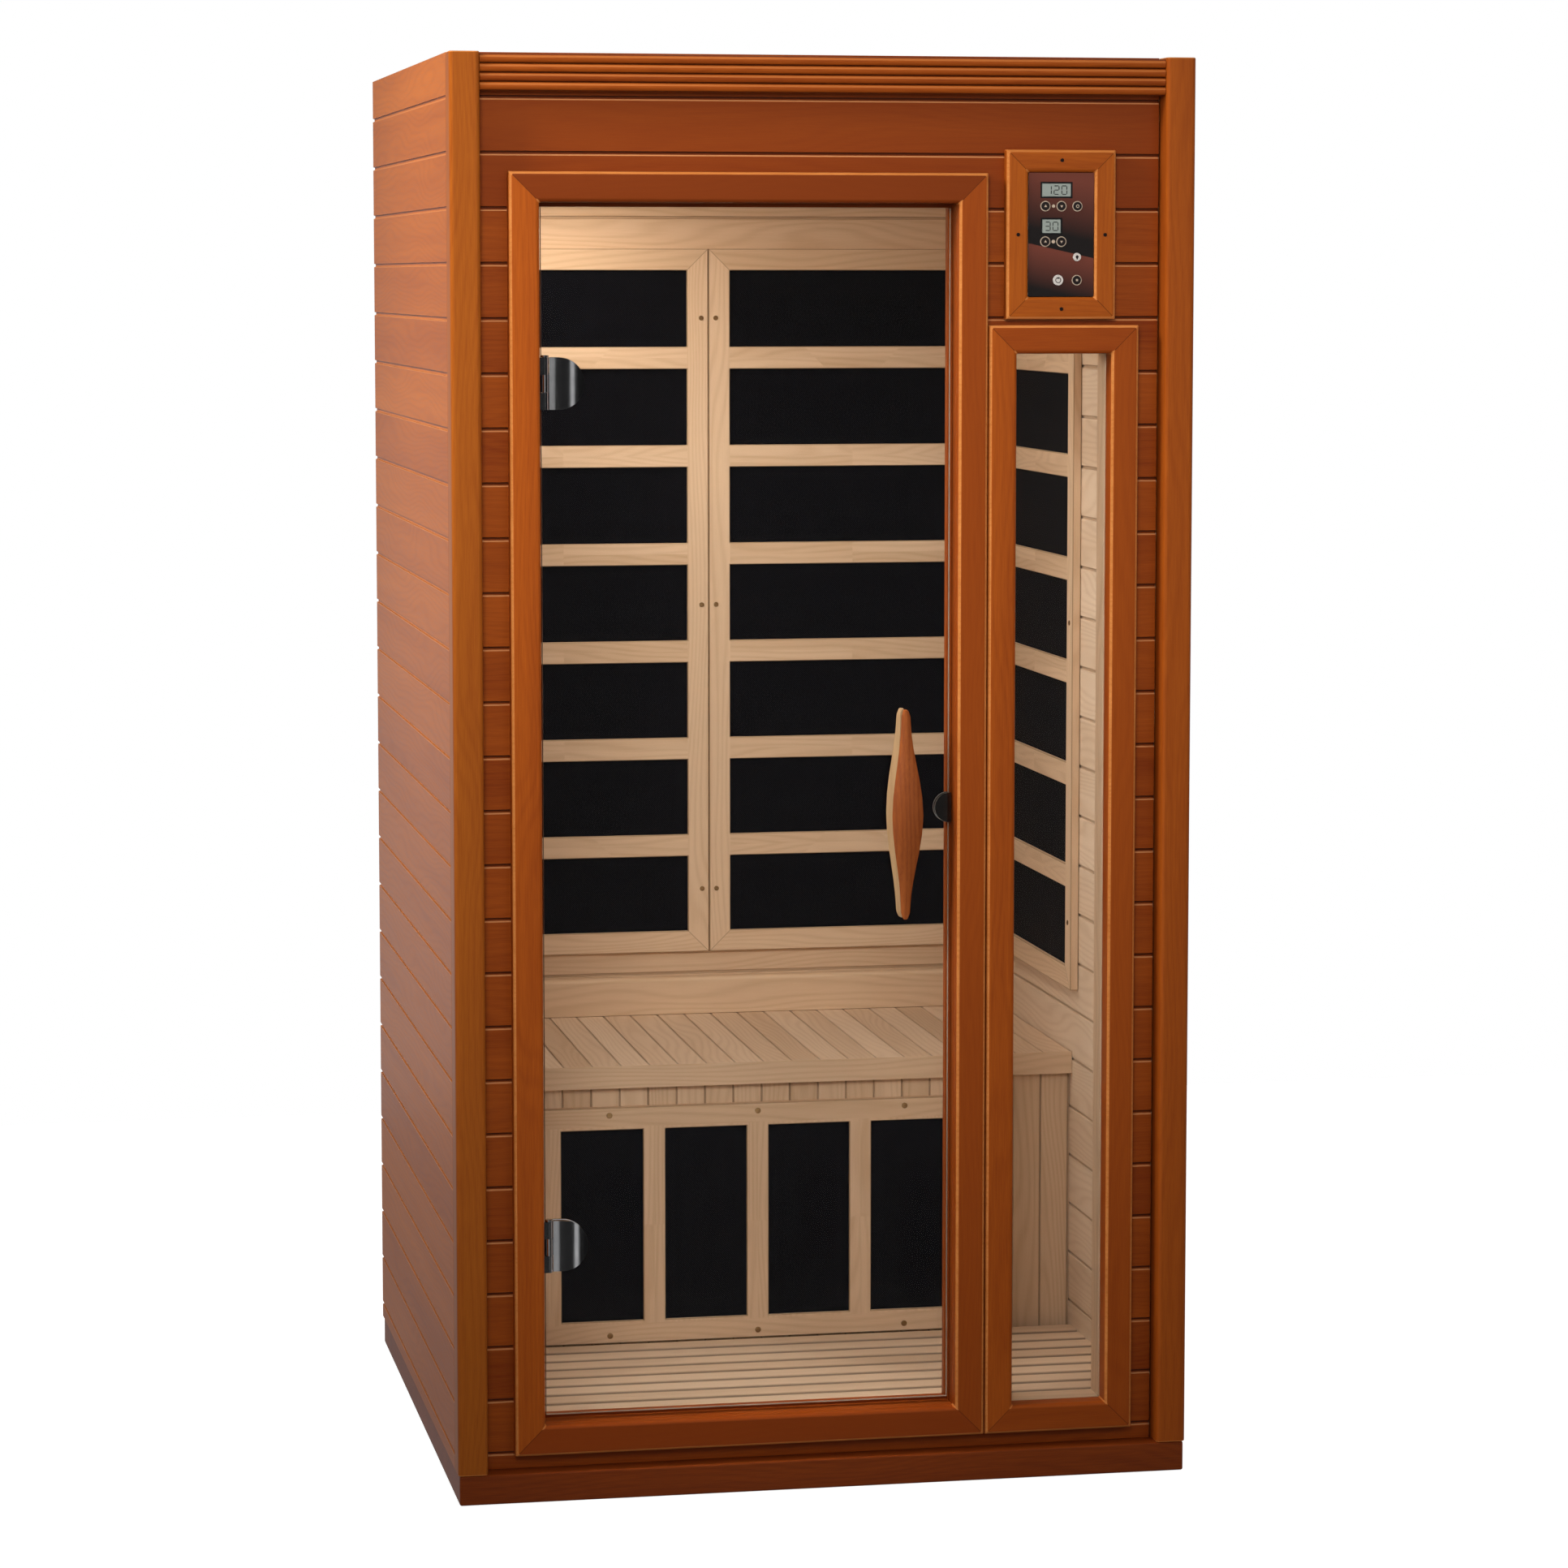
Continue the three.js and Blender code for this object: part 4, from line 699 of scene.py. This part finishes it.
def screw_heads(name, places, facing, radius, material):
    """One head is turned and socketed, then copied to each place and joined."""
    bpy.ops.object.select_all(action="DESELECT")
    bpy.ops.mesh.primitive_cylinder_add(vertices=20, radius=radius, depth=0.0016)
    head = bpy.context.object
    bpy.ops.object.mode_set(mode="EDIT")
    bpy.ops.mesh.select_mode(type="FACE")
    bpy.ops.mesh.select_all(action="DESELECT")
    bpy.ops.object.mode_set(mode="OBJECT")
    for face in head.data.polygons:
        face.select = face.normal.z > 0.9
    bpy.ops.object.mode_set(mode="EDIT")
    bpy.ops.mesh.inset(thickness=radius * 0.18)
    bpy.ops.transform.translate(value=(0, 0, 0.0003))
    bpy.ops.mesh.inset(thickness=radius * 0.42)
    bpy.ops.mesh.extrude_region_move(TRANSFORM_OT_translate={"value": (0, 0, -0.0011)})
    bpy.ops.object.mode_set(mode="OBJECT")
    turn = Vector((0, 0, 1)).rotation_difference(Vector(facing)).to_matrix().to_4x4()
    head.data.transform(turn)
    pieces = []
    for place in places:
        copy = head.copy()
        copy.data = head.data.copy()
        copy.data.transform(turn.Translation(Vector(place)))
        bpy.context.scene.collection.objects.link(copy)
        pieces.append(copy)
    bpy.data.objects.remove(head)
    heads = join_as(name, pieces)
    bpy.ops.object.shade_smooth_by_angle(angle=math.radians(35))
    fix_on(heads, "cabin", material)


brass = moulded("screw_brass", (0.30, 0.17, 0.07), 0.35, 0.15, metallic=0.9)
screw_levels = (0.690, 1.121, 1.551)
screw_proud = 0.0001
grille_screw, calf_screw = 0.0036, 0.0042
back_inset, side_inset = 0.0105, 0.016
for side in ("back_left", "back_right"):
    low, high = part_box(f"grille_{side}")
    rows = (low.x + back_inset, high.x - back_inset)
    spots = [(x, low.y - screw_proud, z) for x in rows for z in screw_levels]
    screw_heads(f"screws_{side}", spots, (0, -1, 0), grille_screw, brass)
for side, out in (("left", 1), ("right", -1)):
    low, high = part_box(f"grille_{side}")
    x = high.x + screw_proud if out > 0 else low.x - screw_proud
    rows = (low.y + side_inset, high.y - side_inset)
    spots = [(x, y, z) for y in rows for z in screw_levels]
    screw_heads(f"screws_{side}", spots, (out, 0, 0), grille_screw, brass)
low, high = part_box("grille_calf")
calf_step, calf_inset = 0.214, 0.011
columns = [(low.x + high.x) / 2 + step for step in (-calf_step, 0, calf_step)]
rows = (high.z - calf_inset, low.z + calf_inset)
spots = [(x, low.y - screw_proud, z) for x in columns for z in rows]
screw_heads("screws_calf", spots, (0, -1, 0), calf_screw, brass)

# Hinges: polished chrome glass hinges. A leaf with two knuckles is screwed to the jamb, and a half
# round plate with the middle knuckle is clamped on the glass by a second plate behind it.


def plated(name, colour, roughness, smear):
    """Plated metal with faint polishing streaks and finger smears."""
    material, tree, shader = fresh_material(name)
    shader.inputs["Metallic"].default_value = 1.0
    place = object_place(tree)
    stretched = put(tree, "ShaderNodeMapping", Scale=(900, 900, 30))
    tree.links.new(place, stretched.inputs["Vector"])
    streaks = noise_at(tree, stretched.outputs[0], 1.0, 2.0)
    cloud = noise_at(tree, place, 90, 3.0)
    darker = tuple(value * (1 - smear) for value in colour)
    tree.links.new(blend_colours(tree, cloud, darker, colour), shader.inputs["Base Color"])
    rough = sums(tree, "MULTIPLY_ADD", streaks, 0.1, roughness - 0.03)
    tree.links.new(rough, shader.inputs["Roughness"])
    return material


chrome = plated("hinge_chrome", (0.60, 0.60, 0.61), 0.07, 0.2)
crowned_chrome = plated("plate_chrome", (0.60, 0.60, 0.61), 0.06, 0.2)
crown_tree = crowned_chrome.node_tree
low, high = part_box("hinge_plate_upper")
from_middle = sums(crown_tree, "SUBTRACT", object_axes(crown_tree)["X"], (low.x + high.x) / 2)
crown_rise = sums(crown_tree, "MULTIPLY", sums(crown_tree, "MULTIPLY", from_middle, from_middle), -2.2)
crown = put(crown_tree, "ShaderNodeBump", Strength=1.0, Distance=1.0)
crown_tree.links.new(crown_rise, crown.inputs["Height"])
crown_tree.links.new(crown.outputs["Normal"], crown_tree.nodes["Principled BSDF"].inputs["Normal"])
for level in ("upper", "lower"):
    for part, body, arris, metal in (
        ("leaf", "cabin", 0.0006, chrome),
        ("pin", "cabin", 0.0006, chrome),
        ("plate", "door", 0.0009, crowned_chrome),
        ("clamp", "door", 0.0009, chrome),
    ):
        dress(f"hinge_{part}_{level}", "chrome", metal, body=body, arris=arris, steps=2)

# Door: one sheet of tempered glass with polished edges, drilled for the hinges and the handles. It
# hangs from the two hinge plates, with no frame of its own.
door_glass = dress("door_glass", "clear_glass", clear_glass, glass_edge, body="door", arris=0.0008, steps=1)
polished_edge(door_glass)

# Handles: a stained grip outside and a bare one inside, shaped and sanded from solid wood, and
# pulled together through the glass by two bolts.
grip_finish = dict(cherry, light=(0.420, 0.108, 0.018), dark=(0.200, 0.038, 0.006), Rings=-0.25, gloss=0.4)
grip_low, grip_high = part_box("handle_outer")
grip_middle = (grip_low + grip_high) / 2
grip_half = (grip_high.z - grip_low.z) / 2


def fuller_belly(grip):
    """Swells the middle of the grip, ring by ring, and leaves the tips as they are."""
    for level in sorted({round(point.co.z, 5) for point in grip.data.vertices}):
        away = abs(level - grip_middle.z) / grip_half
        swell = 1 + 0.24 * max(0.0, math.cos(away * math.pi / 2 * 1.25)) ** 1.5
        pick_points(grip, lambda place: abs(place.z - level) < 0.00002)
        bpy.ops.transform.resize(value=(swell, 1, 1), center_override=grip_middle)
        bpy.ops.object.mode_set(mode="OBJECT")


grip_wood = plain_wood("grip_cherry", "Z", "X", grip_finish)
grip_easing = {"arris": 0.0010, "steps": 2, "shaping": fuller_belly}
dress("handle_outer", "cherry_wood", grip_wood, body="door", **grip_easing)
inner_finish = dict(hemlock, light=(0.560, 0.370, 0.200), dark=(0.380, 0.230, 0.110))
inner_wood = plain_wood("grip_hemlock", "Z", "X", inner_finish)
dress("handle_inner", "hemlock_wood", inner_wood, body="door", arris=0.0008, steps=2)
steel = plated("bolt_steel", (0.42, 0.42, 0.43), 0.3, 0.2)
for level in ("upper", "lower"):
    dress(f"handle_bolt_{level}", "grey_metal", steel, body="door", arris=0.0005, steps=2)
# The strike's chrome is darkened to near black as painted shade, and its bevels take the bright chrome as a
# painted highlight.
shaded_chrome = plated("strike_dark_chrome", (0.085, 0.080, 0.075), 0.22, 0.4)
dress("strike_clamp", "chrome", shaded_chrome, chrome, body="door", arris=0.0009, steps=2, worn=chrome)

# Control panel: a mitred cherry bezel screwed to the boards round a printed fascia, with the board
# behind it carrying two number displays.
bezel_rail = 0.030
bezel_finish = dict(frame_finish, light=(0.490, 0.118, 0.0105), dark=(0.310, 0.060, 0.0065))
bezel_wood = mitred_wood("bezel_cherry", *opening_of("control_bezel", bezel_rail), bezel_finish, stain_seam)
bezel = dress("control_bezel", "cherry_wood", bezel_wood, worn_edge, **frame_easing)
wear_and_highlight_arris(bezel, "control_bezel")
low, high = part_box("control_bezel")
middle_x = (low.x + high.x) / 2
middle_z = (low.z + high.z) / 2
bezel_screw = 0.0024
rail_inset, stile_inset = 0.014, 0.0155
spots = [(middle_x, low.y - screw_proud, z) for z in (high.z - rail_inset, low.z + rail_inset)]
spots += [(x, low.y - screw_proud, middle_z) for x in (low.x + stile_inset, high.x - stile_inset)]
dark_screw = moulded("bezel_screw", (0.014, 0.006, 0.004), 0.7, 0.1)
screw_heads("bezel_screws", spots, (0, -1, 0), bezel_screw, dark_screw)

display_fields = {
    "temperature": {"text": "120", "centre": (-0.0065, 0.0585), "size": (0.039, 0.017)},
    "time": {"text": "30", "centre": (-0.013, 0.011), "size": (0.025, 0.018)},
}
surround_width = 0.0022
fascia_print, print_tree, print_shader = fresh_material("fascia_print")
print_moved = put(print_tree, "ShaderNodeMapping", Location=(-middle_x, 0, -middle_z))
print_tree.links.new(object_place(print_tree), print_moved.inputs["Vector"])
print_axes = put(print_tree, "ShaderNodeSeparateXYZ")
print_tree.links.new(print_moved.outputs[0], print_axes.inputs[0])
print_xz = print_axes.outputs["X"], print_axes.outputs["Z"]
slope = sums(print_tree, "MULTIPLY_ADD", print_xz[0], 0.22, print_xz[1])
fade = put(print_tree, "ShaderNodeMapRange", From_Min=0.0, From_Max=0.075)
print_tree.links.new(slope, fade.inputs["Value"])
lower_band = sums(print_tree, "LESS_THAN", slope, -0.021)
lower_fade = put(print_tree, "ShaderNodeMapRange", From_Min=-0.078, From_Max=-0.024)
print_tree.links.new(slope, lower_fade.inputs["Value"])
maroon = sums(print_tree, "MULTIPLY", lower_band, lower_fade.outputs[0])
maroon = sums(print_tree, "MAXIMUM", maroon, fade.outputs[0])
dots = noise_at(print_tree, object_place(print_tree), 1400, 1.0)
maroon = sums(print_tree, "MULTIPLY_ADD", sums(print_tree, "SUBTRACT", dots, 0.5), 0.15, maroon)
print_colour = blend_colours(print_tree, maroon, (0.012, 0.010, 0.010), (0.185, 0.046, 0.028))
for field in display_fields.values():
    past_edge = []
    for axis, centre, size in zip(print_xz, field["centre"], field["size"]):
        away = sums(print_tree, "ABSOLUTE", sums(print_tree, "SUBTRACT", axis, centre))
        past_edge.append(sums(print_tree, "SUBTRACT", away, size / 2))
    surround = sums(print_tree, "LESS_THAN", sums(print_tree, "MAXIMUM", *past_edge), surround_width)
    print_colour = blend_colours(print_tree, surround, print_colour, (0.008, 0.008, 0.009))
print_tree.links.new(print_colour, print_shader.inputs["Base Color"])
print_tree.links.new(sums(print_tree, "MULTIPLY_ADD", dots, 0.1, 0.28), print_shader.inputs["Roughness"])
dress("control_fascia", "fascia_print", fascia_print, arris=0.0002, steps=1)
display_grey = moulded("display_grey", (0.36, 0.41, 0.38), 0.22, 0.06)
dress("control_board", "display", display_grey, arris=0.0004, steps=1)

# Number displays: dark liquid-crystal bars over the grey cells, set out as seven-bar figures. The
# cells are part of the board, and show through the fascia's two windows.
figures = {"0": "abcdef", "1": "bc", "2": "abged", "3": "abgcd"}
bar_places = {
    "a": (0, 1, False), "g": (0, 0, False), "d": (0, -1, False), "f": (-1, 0.5, True),
    "b": (1, 0.5, True), "e": (-1, -0.5, True), "c": (1, -0.5, True),
}
figure_width, figure_height = 0.0068, 0.0110
bar_width, bar_depth = 0.0012, 0.0003
ink = moulded("display_ink", (0.025, 0.030, 0.028), 0.3, 0.1)
display_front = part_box("control_board")[0].y


def number_display(name, text, centre):
    """Bars are cut from one bevelled strip and set out as figures on the cell."""
    bars = []
    spacing = figure_width * 1.55
    for place, figure in enumerate(text):
        x = centre[0] + (place - (len(text) - 1) / 2) * spacing
        for bar_name in figures[figure]:
            dx, dz, upright = bar_places[bar_name]
            bpy.ops.object.select_all(action="DESELECT")
            bpy.ops.mesh.primitive_cube_add(size=1)
            bar = bpy.context.object
            bar.scale = (figure_width * 0.78, bar_depth, bar_width)
            if upright:
                bar.scale = (bar_width, bar_depth, figure_height * 0.40)
            z = centre[1] + dz * figure_height / 2
            bar.location = (x + dx * figure_width / 2, display_front - 0.0001, z)
            bpy.ops.object.transform_apply(location=True, rotation=False, scale=True)
            bpy.ops.object.mode_set(mode="EDIT")
            bpy.ops.mesh.select_all(action="SELECT")
            bpy.ops.mesh.bevel(offset=0.0001, segments=1)
            bpy.ops.object.mode_set(mode="OBJECT")
            bars.append(bar)
    fix_on(join_as(name, bars), "cabin", ink)


for use, field in display_fields.items():
    place = (middle_x + field["centre"][0], middle_z + field["centre"][1])
    number_display(f"display_{use}", field["text"], place)

# Push buttons: domed keys that come up through the fascia, the dark ones ringed in pale print, each
# with a plain raised sign on the key. Power and light keys are white.


def ring_print(name, x, z, radius, material):
    """A thin printed ring round a key, spun from a small section and sunk in the fascia's face."""
    bpy.ops.object.select_all(action="DESELECT")
    bpy.ops.mesh.primitive_torus_add(
        major_radius=radius, minor_radius=0.0006, major_segments=40, minor_segments=8,
        location=(x, fascia_front, z), rotation=(math.pi / 2, 0, 0),
    )
    ring = bpy.context.object
    ring.name = name
    bpy.ops.object.transform_apply(location=True, rotation=True, scale=True)
    bpy.ops.object.mode_set(mode="EDIT")
    bpy.ops.mesh.select_all(action="SELECT")
    bpy.ops.transform.resize(value=(1, 0.5, 1), center_override=(x, fascia_front, z))
    bpy.ops.object.mode_set(mode="OBJECT")
    bpy.ops.object.shade_smooth()
    fix_on(ring, "cabin", material)


def key_sign(name, x, y, z, sides, radius, turn, body, material, hollow=0.0):
    """A small flat sign on a key: a solid with few sides, or an open ring where hollow is given."""
    bpy.ops.object.select_all(action="DESELECT")
    if hollow:
        bpy.ops.mesh.primitive_torus_add(
            major_radius=radius, minor_radius=hollow, major_segments=28, minor_segments=8
        )
    else:
        bpy.ops.mesh.primitive_cylinder_add(vertices=sides, radius=radius, depth=0.0004)
    sign = bpy.context.object
    sign.name = name
    sign.rotation_euler = (math.pi / 2, turn, 0)
    sign.location = (x, y, z)
    bpy.ops.object.transform_apply(location=True, rotation=True, scale=True)
    bpy.ops.object.mode_set(mode="EDIT")
    bpy.ops.mesh.select_all(action="SELECT")
    if hollow:
        bpy.ops.transform.resize(value=(1, 0.4, 1), center_override=(x, y, z))
    else:
        bpy.ops.mesh.bevel(offset=0.00012, segments=1)
    bpy.ops.object.mode_set(mode="OBJECT")
    bpy.ops.object.shade_smooth_by_angle(angle=math.radians(30))
    fix_on(sign, body, material)


fascia_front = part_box("control_fascia")[0].y
pale_print = moulded("pale_print", (0.62, 0.50, 0.38), 0.4, 0.05)
white_key = moulded("white_key", (0.74, 0.70, 0.66), 0.35, 0.03)
black_key = moulded("black_key", (0.020, 0.014, 0.014), 0.4, 0.1)
key_rim, ring_gap = 0.0015, 0.0008
keys = ("temperature_up", "temperature_down", "unit", "time_up", "time_down", "light", "power", "audio")
for use in keys:
    node = f"button_{use}"
    low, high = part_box(node)
    x, z = (low.x + high.x) / 2, (low.z + high.z) / 2
    radius = (high.x - low.x) / 2 - key_rim
    white = use in ("power", "light")
    slot = "white_plastic" if use == "power" else "black_plastic"
    dress(node, slot, white_key if white else black_key, body=node, arris=0.0004, steps=2)
    if not white:
        ring_print(f"ring_{use}", x, z, radius + ring_gap, pale_print)
    sign_y = low.y - 0.0001
    if use.endswith("_up"):
        key_sign(f"sign_{use}", x, sign_y, z, 3, 0.0022, 0, node, pale_print)
    elif use.endswith("_down"):
        key_sign(f"sign_{use}", x, sign_y, z, 3, 0.0022, math.pi, node, pale_print)
    elif use == "power":
        key_sign("sign_power_ring", x, sign_y, z, 0, 0.0034, 0, node, black_key, 0.0005)
        key_sign("sign_power_bar", x, sign_y, z + 0.0024, 4, 0.0012, 0, node, black_key)
    elif use == "light":
        key_sign("sign_light_bulb", x, sign_y, z + 0.0004, 12, 0.0020, 0, node, black_key)
        key_sign("sign_light_cap", x, sign_y, z - 0.0022, 4, 0.0012, math.pi / 4, node, black_key)
    elif use == "unit":
        key_sign("sign_unit", x, sign_y, z, 0, 0.0018, 0, node, pale_print, 0.0004)
    else:
        key_sign("sign_audio", x, sign_y, z, 4, 0.0020, math.pi / 4, node, pale_print)
sign_x = middle_x - 0.0106
for sign_name, up, sides in (("sign_thermometer", 0.0374, 6), ("sign_clock", -0.0091, 16)):
    key_sign(sign_name, sign_x, fascia_front, middle_z + up, sides, 0.0024, 0, "cabin", pale_print)

# Floor: a plain pale sweep under the cabin, white to the camera and darkened only by the shadow of
# the cabin. In mirrored rays it is dark in front, so that the chrome has something to show.
bpy.ops.object.select_all(action="DESELECT")
bpy.ops.mesh.primitive_plane_add(size=1, location=(0, 0.4, -0.0005))
studio_floor = bpy.context.object
studio_floor.name = "studio_floor"
studio_floor.scale = (8.0, 4.0, 1.0)
bpy.ops.object.transform_apply(location=True, rotation=False, scale=True)
floor_paint, floor_tree, floor_shader = fresh_material("floor_paint")
floor_shader.inputs["Roughness"].default_value = 0.9
floor_shader.inputs["Specular IOR Level"].default_value = 0.0
floor_rays = put(floor_tree, "ShaderNodeLightPath").outputs
seen = sums(floor_tree, "MAXIMUM", floor_rays["Is Camera Ray"], floor_rays["Is Transmission Ray"])
lit_part = put(floor_tree, "ShaderNodeMapRange", From_Min=-0.9, From_Max=-0.6, To_Min=0.02, To_Max=0.35)
floor_tree.links.new(object_axes(floor_tree)["Y"], lit_part.inputs["Value"])
mirrored = sums(floor_tree, "MULTIPLY", floor_rays["Is Glossy Ray"], lit_part.outputs[0])
floor_colour = blend_colours(floor_tree, seen, (0.20, 0.19, 0.18), (0.80, 0.80, 0.80))
floor_tree.links.new(floor_colour, floor_shader.inputs["Base Color"])
lift = put(floor_tree, "ShaderNodeEmission", Color=(1, 1, 1, 1))
floor_tree.links.new(sums(floor_tree, "MULTIPLY_ADD", seen, 0.80, mirrored), lift.inputs["Strength"])
floor_sum = put(floor_tree, "ShaderNodeAddShader")
floor_tree.links.new(floor_shader.outputs[0], floor_sum.inputs[0])
floor_tree.links.new(lift.outputs[0], floor_sum.inputs[1])
floor_tree.links.new(floor_sum.outputs[0], floor_tree.nodes["Material Output"].inputs["Surface"])
finish_with(studio_floor, floor_paint)

# Light: a white room behind the cabin, with a dark studio and strip lamps in front of it for the
# chrome, soft lamps at the front, left side and back, and the cabin's own light under its ceiling.
scene = bpy.context.scene
scene.view_settings.view_transform = "Standard"
world = bpy.data.worlds.new("studio")
scene.world = world
world.use_nodes = True
room = world.node_tree
room_light = room.nodes["Background"]
room_light.inputs["Color"].default_value = (1.0, 0.97, 0.94, 1)
room_light.inputs["Strength"].default_value = 0.27
room_place = put(room, "ShaderNodeTexCoord")
room_axes = put(room, "ShaderNodeSeparateXYZ")
room.links.new(room_place.outputs["Generated"], room_axes.inputs[0])
strips = put(room, "ShaderNodeValToRGB")
strip_stops = (
    (0.00, 0.700), (0.25, 0.700), (0.30, 0.020), (0.48, 0.020), (0.49, 0.40), (0.55, 0.40), (0.557, 0.012),
    (0.600, 0.030), (0.680, 0.022), (0.730, 0.010), (0.737, 0.65), (0.775, 0.65), (0.783, 0.008),
    (1.00, 0.012),
)
while len(strips.color_ramp.elements) < len(strip_stops):
    strips.color_ramp.elements.new(1.0)
for element, (position, value) in zip(strips.color_ramp.elements, strip_stops):
    element.position = position
    element.color = (value, value, value, 1)
room.links.new(sums(room, "ADD", room_axes.outputs["X"], 0.5), strips.inputs["Fac"])
behind = put(room, "ShaderNodeMapRange", From_Min=-0.45, From_Max=0.05)
room.links.new(room_axes.outputs["Y"], behind.inputs["Value"])
height_fade = put(room, "ShaderNodeMapRange", From_Min=-0.08, From_Max=0.06, To_Min=0.80, To_Max=0.28)
room.links.new(room_axes.outputs["Z"], height_fade.inputs["Value"])
glossy_view = blend_colours(room, behind.outputs[0], strips.outputs["Color"], height_fade.outputs[0])
room_rays = put(room, "ShaderNodeLightPath").outputs
straight = sums(room, "MAXIMUM", room_rays["Is Camera Ray"], room_rays["Is Transmission Ray"])
backdrop = put(room, "ShaderNodeBackground", Strength=1.0)
room.links.new(blend_colours(room, straight, glossy_view, (1, 1, 1)), backdrop.inputs["Color"])
room_seen = sums(room, "MAXIMUM", straight, room_rays["Is Glossy Ray"])
mix_shaders(room, room_seen, room_light, backdrop, "World Output")


def softbox(name, place, aim, size, power, colour, spread=180):
    """An area lamp at a place, turned to its aim; a small spread keeps it to what it is aimed at."""
    light = bpy.data.lights.new(name, "AREA")
    light.shape = "RECTANGLE"
    light.size, light.size_y = size
    light.energy = power
    light.color = colour
    light.spread = math.radians(spread)
    holder = bpy.data.objects.new(name, light)
    holder.location = place
    holder.rotation_euler = (Vector(aim) - Vector(place)).to_track_quat("-Z", "Y").to_euler()
    holder.visible_camera = holder.visible_transmission = holder.visible_glossy = False
    scene.collection.objects.link(holder)


softbox("key_light", (-1.1, -4.2, 2.7), (-0.28, -0.45, 1.56), (1.2, 1.2), 7.4, (1.0, 0.96, 0.91), 48)
softbox("fill_light", (1.6, -4.4, 2.3), (0.0, -0.4, 1.5), (1.6, 1.6), 3, (1.0, 0.97, 0.93), 80)
softbox("side_light", (-2.6, -0.95, 3.0), (-0.495, -0.1, 1.75), (1.0, 1.0), 10, (1.0, 0.97, 0.92), 56)
softbox("back_light", (1.5, 3.4, 2.4), (0.2, 0.48, 1.0), (1.5, 1.5), 16, (1.0, 0.97, 0.93), 100)
softbox("cabin_lamp", (-0.28, 0.14, 1.775), (-0.28, 0.14, 0), (0.16, 0.16), 2.6, (1.0, 0.92, 0.82))
softbox("cabin_glow", (0.05, 0.0, 1.78), (0.05, 0.0, 0), (0.7, 0.6), 1.22, (1.0, 0.92, 0.83))
softbox("wall_wash", (-0.36, -0.15, 1.15), (0.45, -0.15, 1.0), (0.25, 1.0), 0.68, (1.0, 0.96, 0.90), 80)
softbox("sill_wash", (-0.05, -0.36, 1.62), (-0.05, -0.37, 0.1), (0.4, 0.05), 0.42, (1.0, 0.96, 0.90), 34)

# Camera: a long lens in front of the cabin and a little to its left, just above its middle, with a
# small lens shift that keeps the uprights nearly parallel.
image_pixels = 1932
focal_pixels = 5652.0
lens_pixels_y = 880
camera = bpy.data.objects.new("camera", bpy.data.cameras.new("camera"))
camera.data.sensor_width = 36
camera.data.lens = focal_pixels / image_pixels * camera.data.sensor_width
camera.data.shift_y = (lens_pixels_y - image_pixels / 2) / image_pixels
camera.data.clip_end = 100
camera.location = (-1.1917, -6.3665, 1.6112)
camera.rotation_euler = (math.radians(90 - 5.437), 0, math.radians(-10.893))
scene.collection.objects.link(camera)
scene.camera = camera
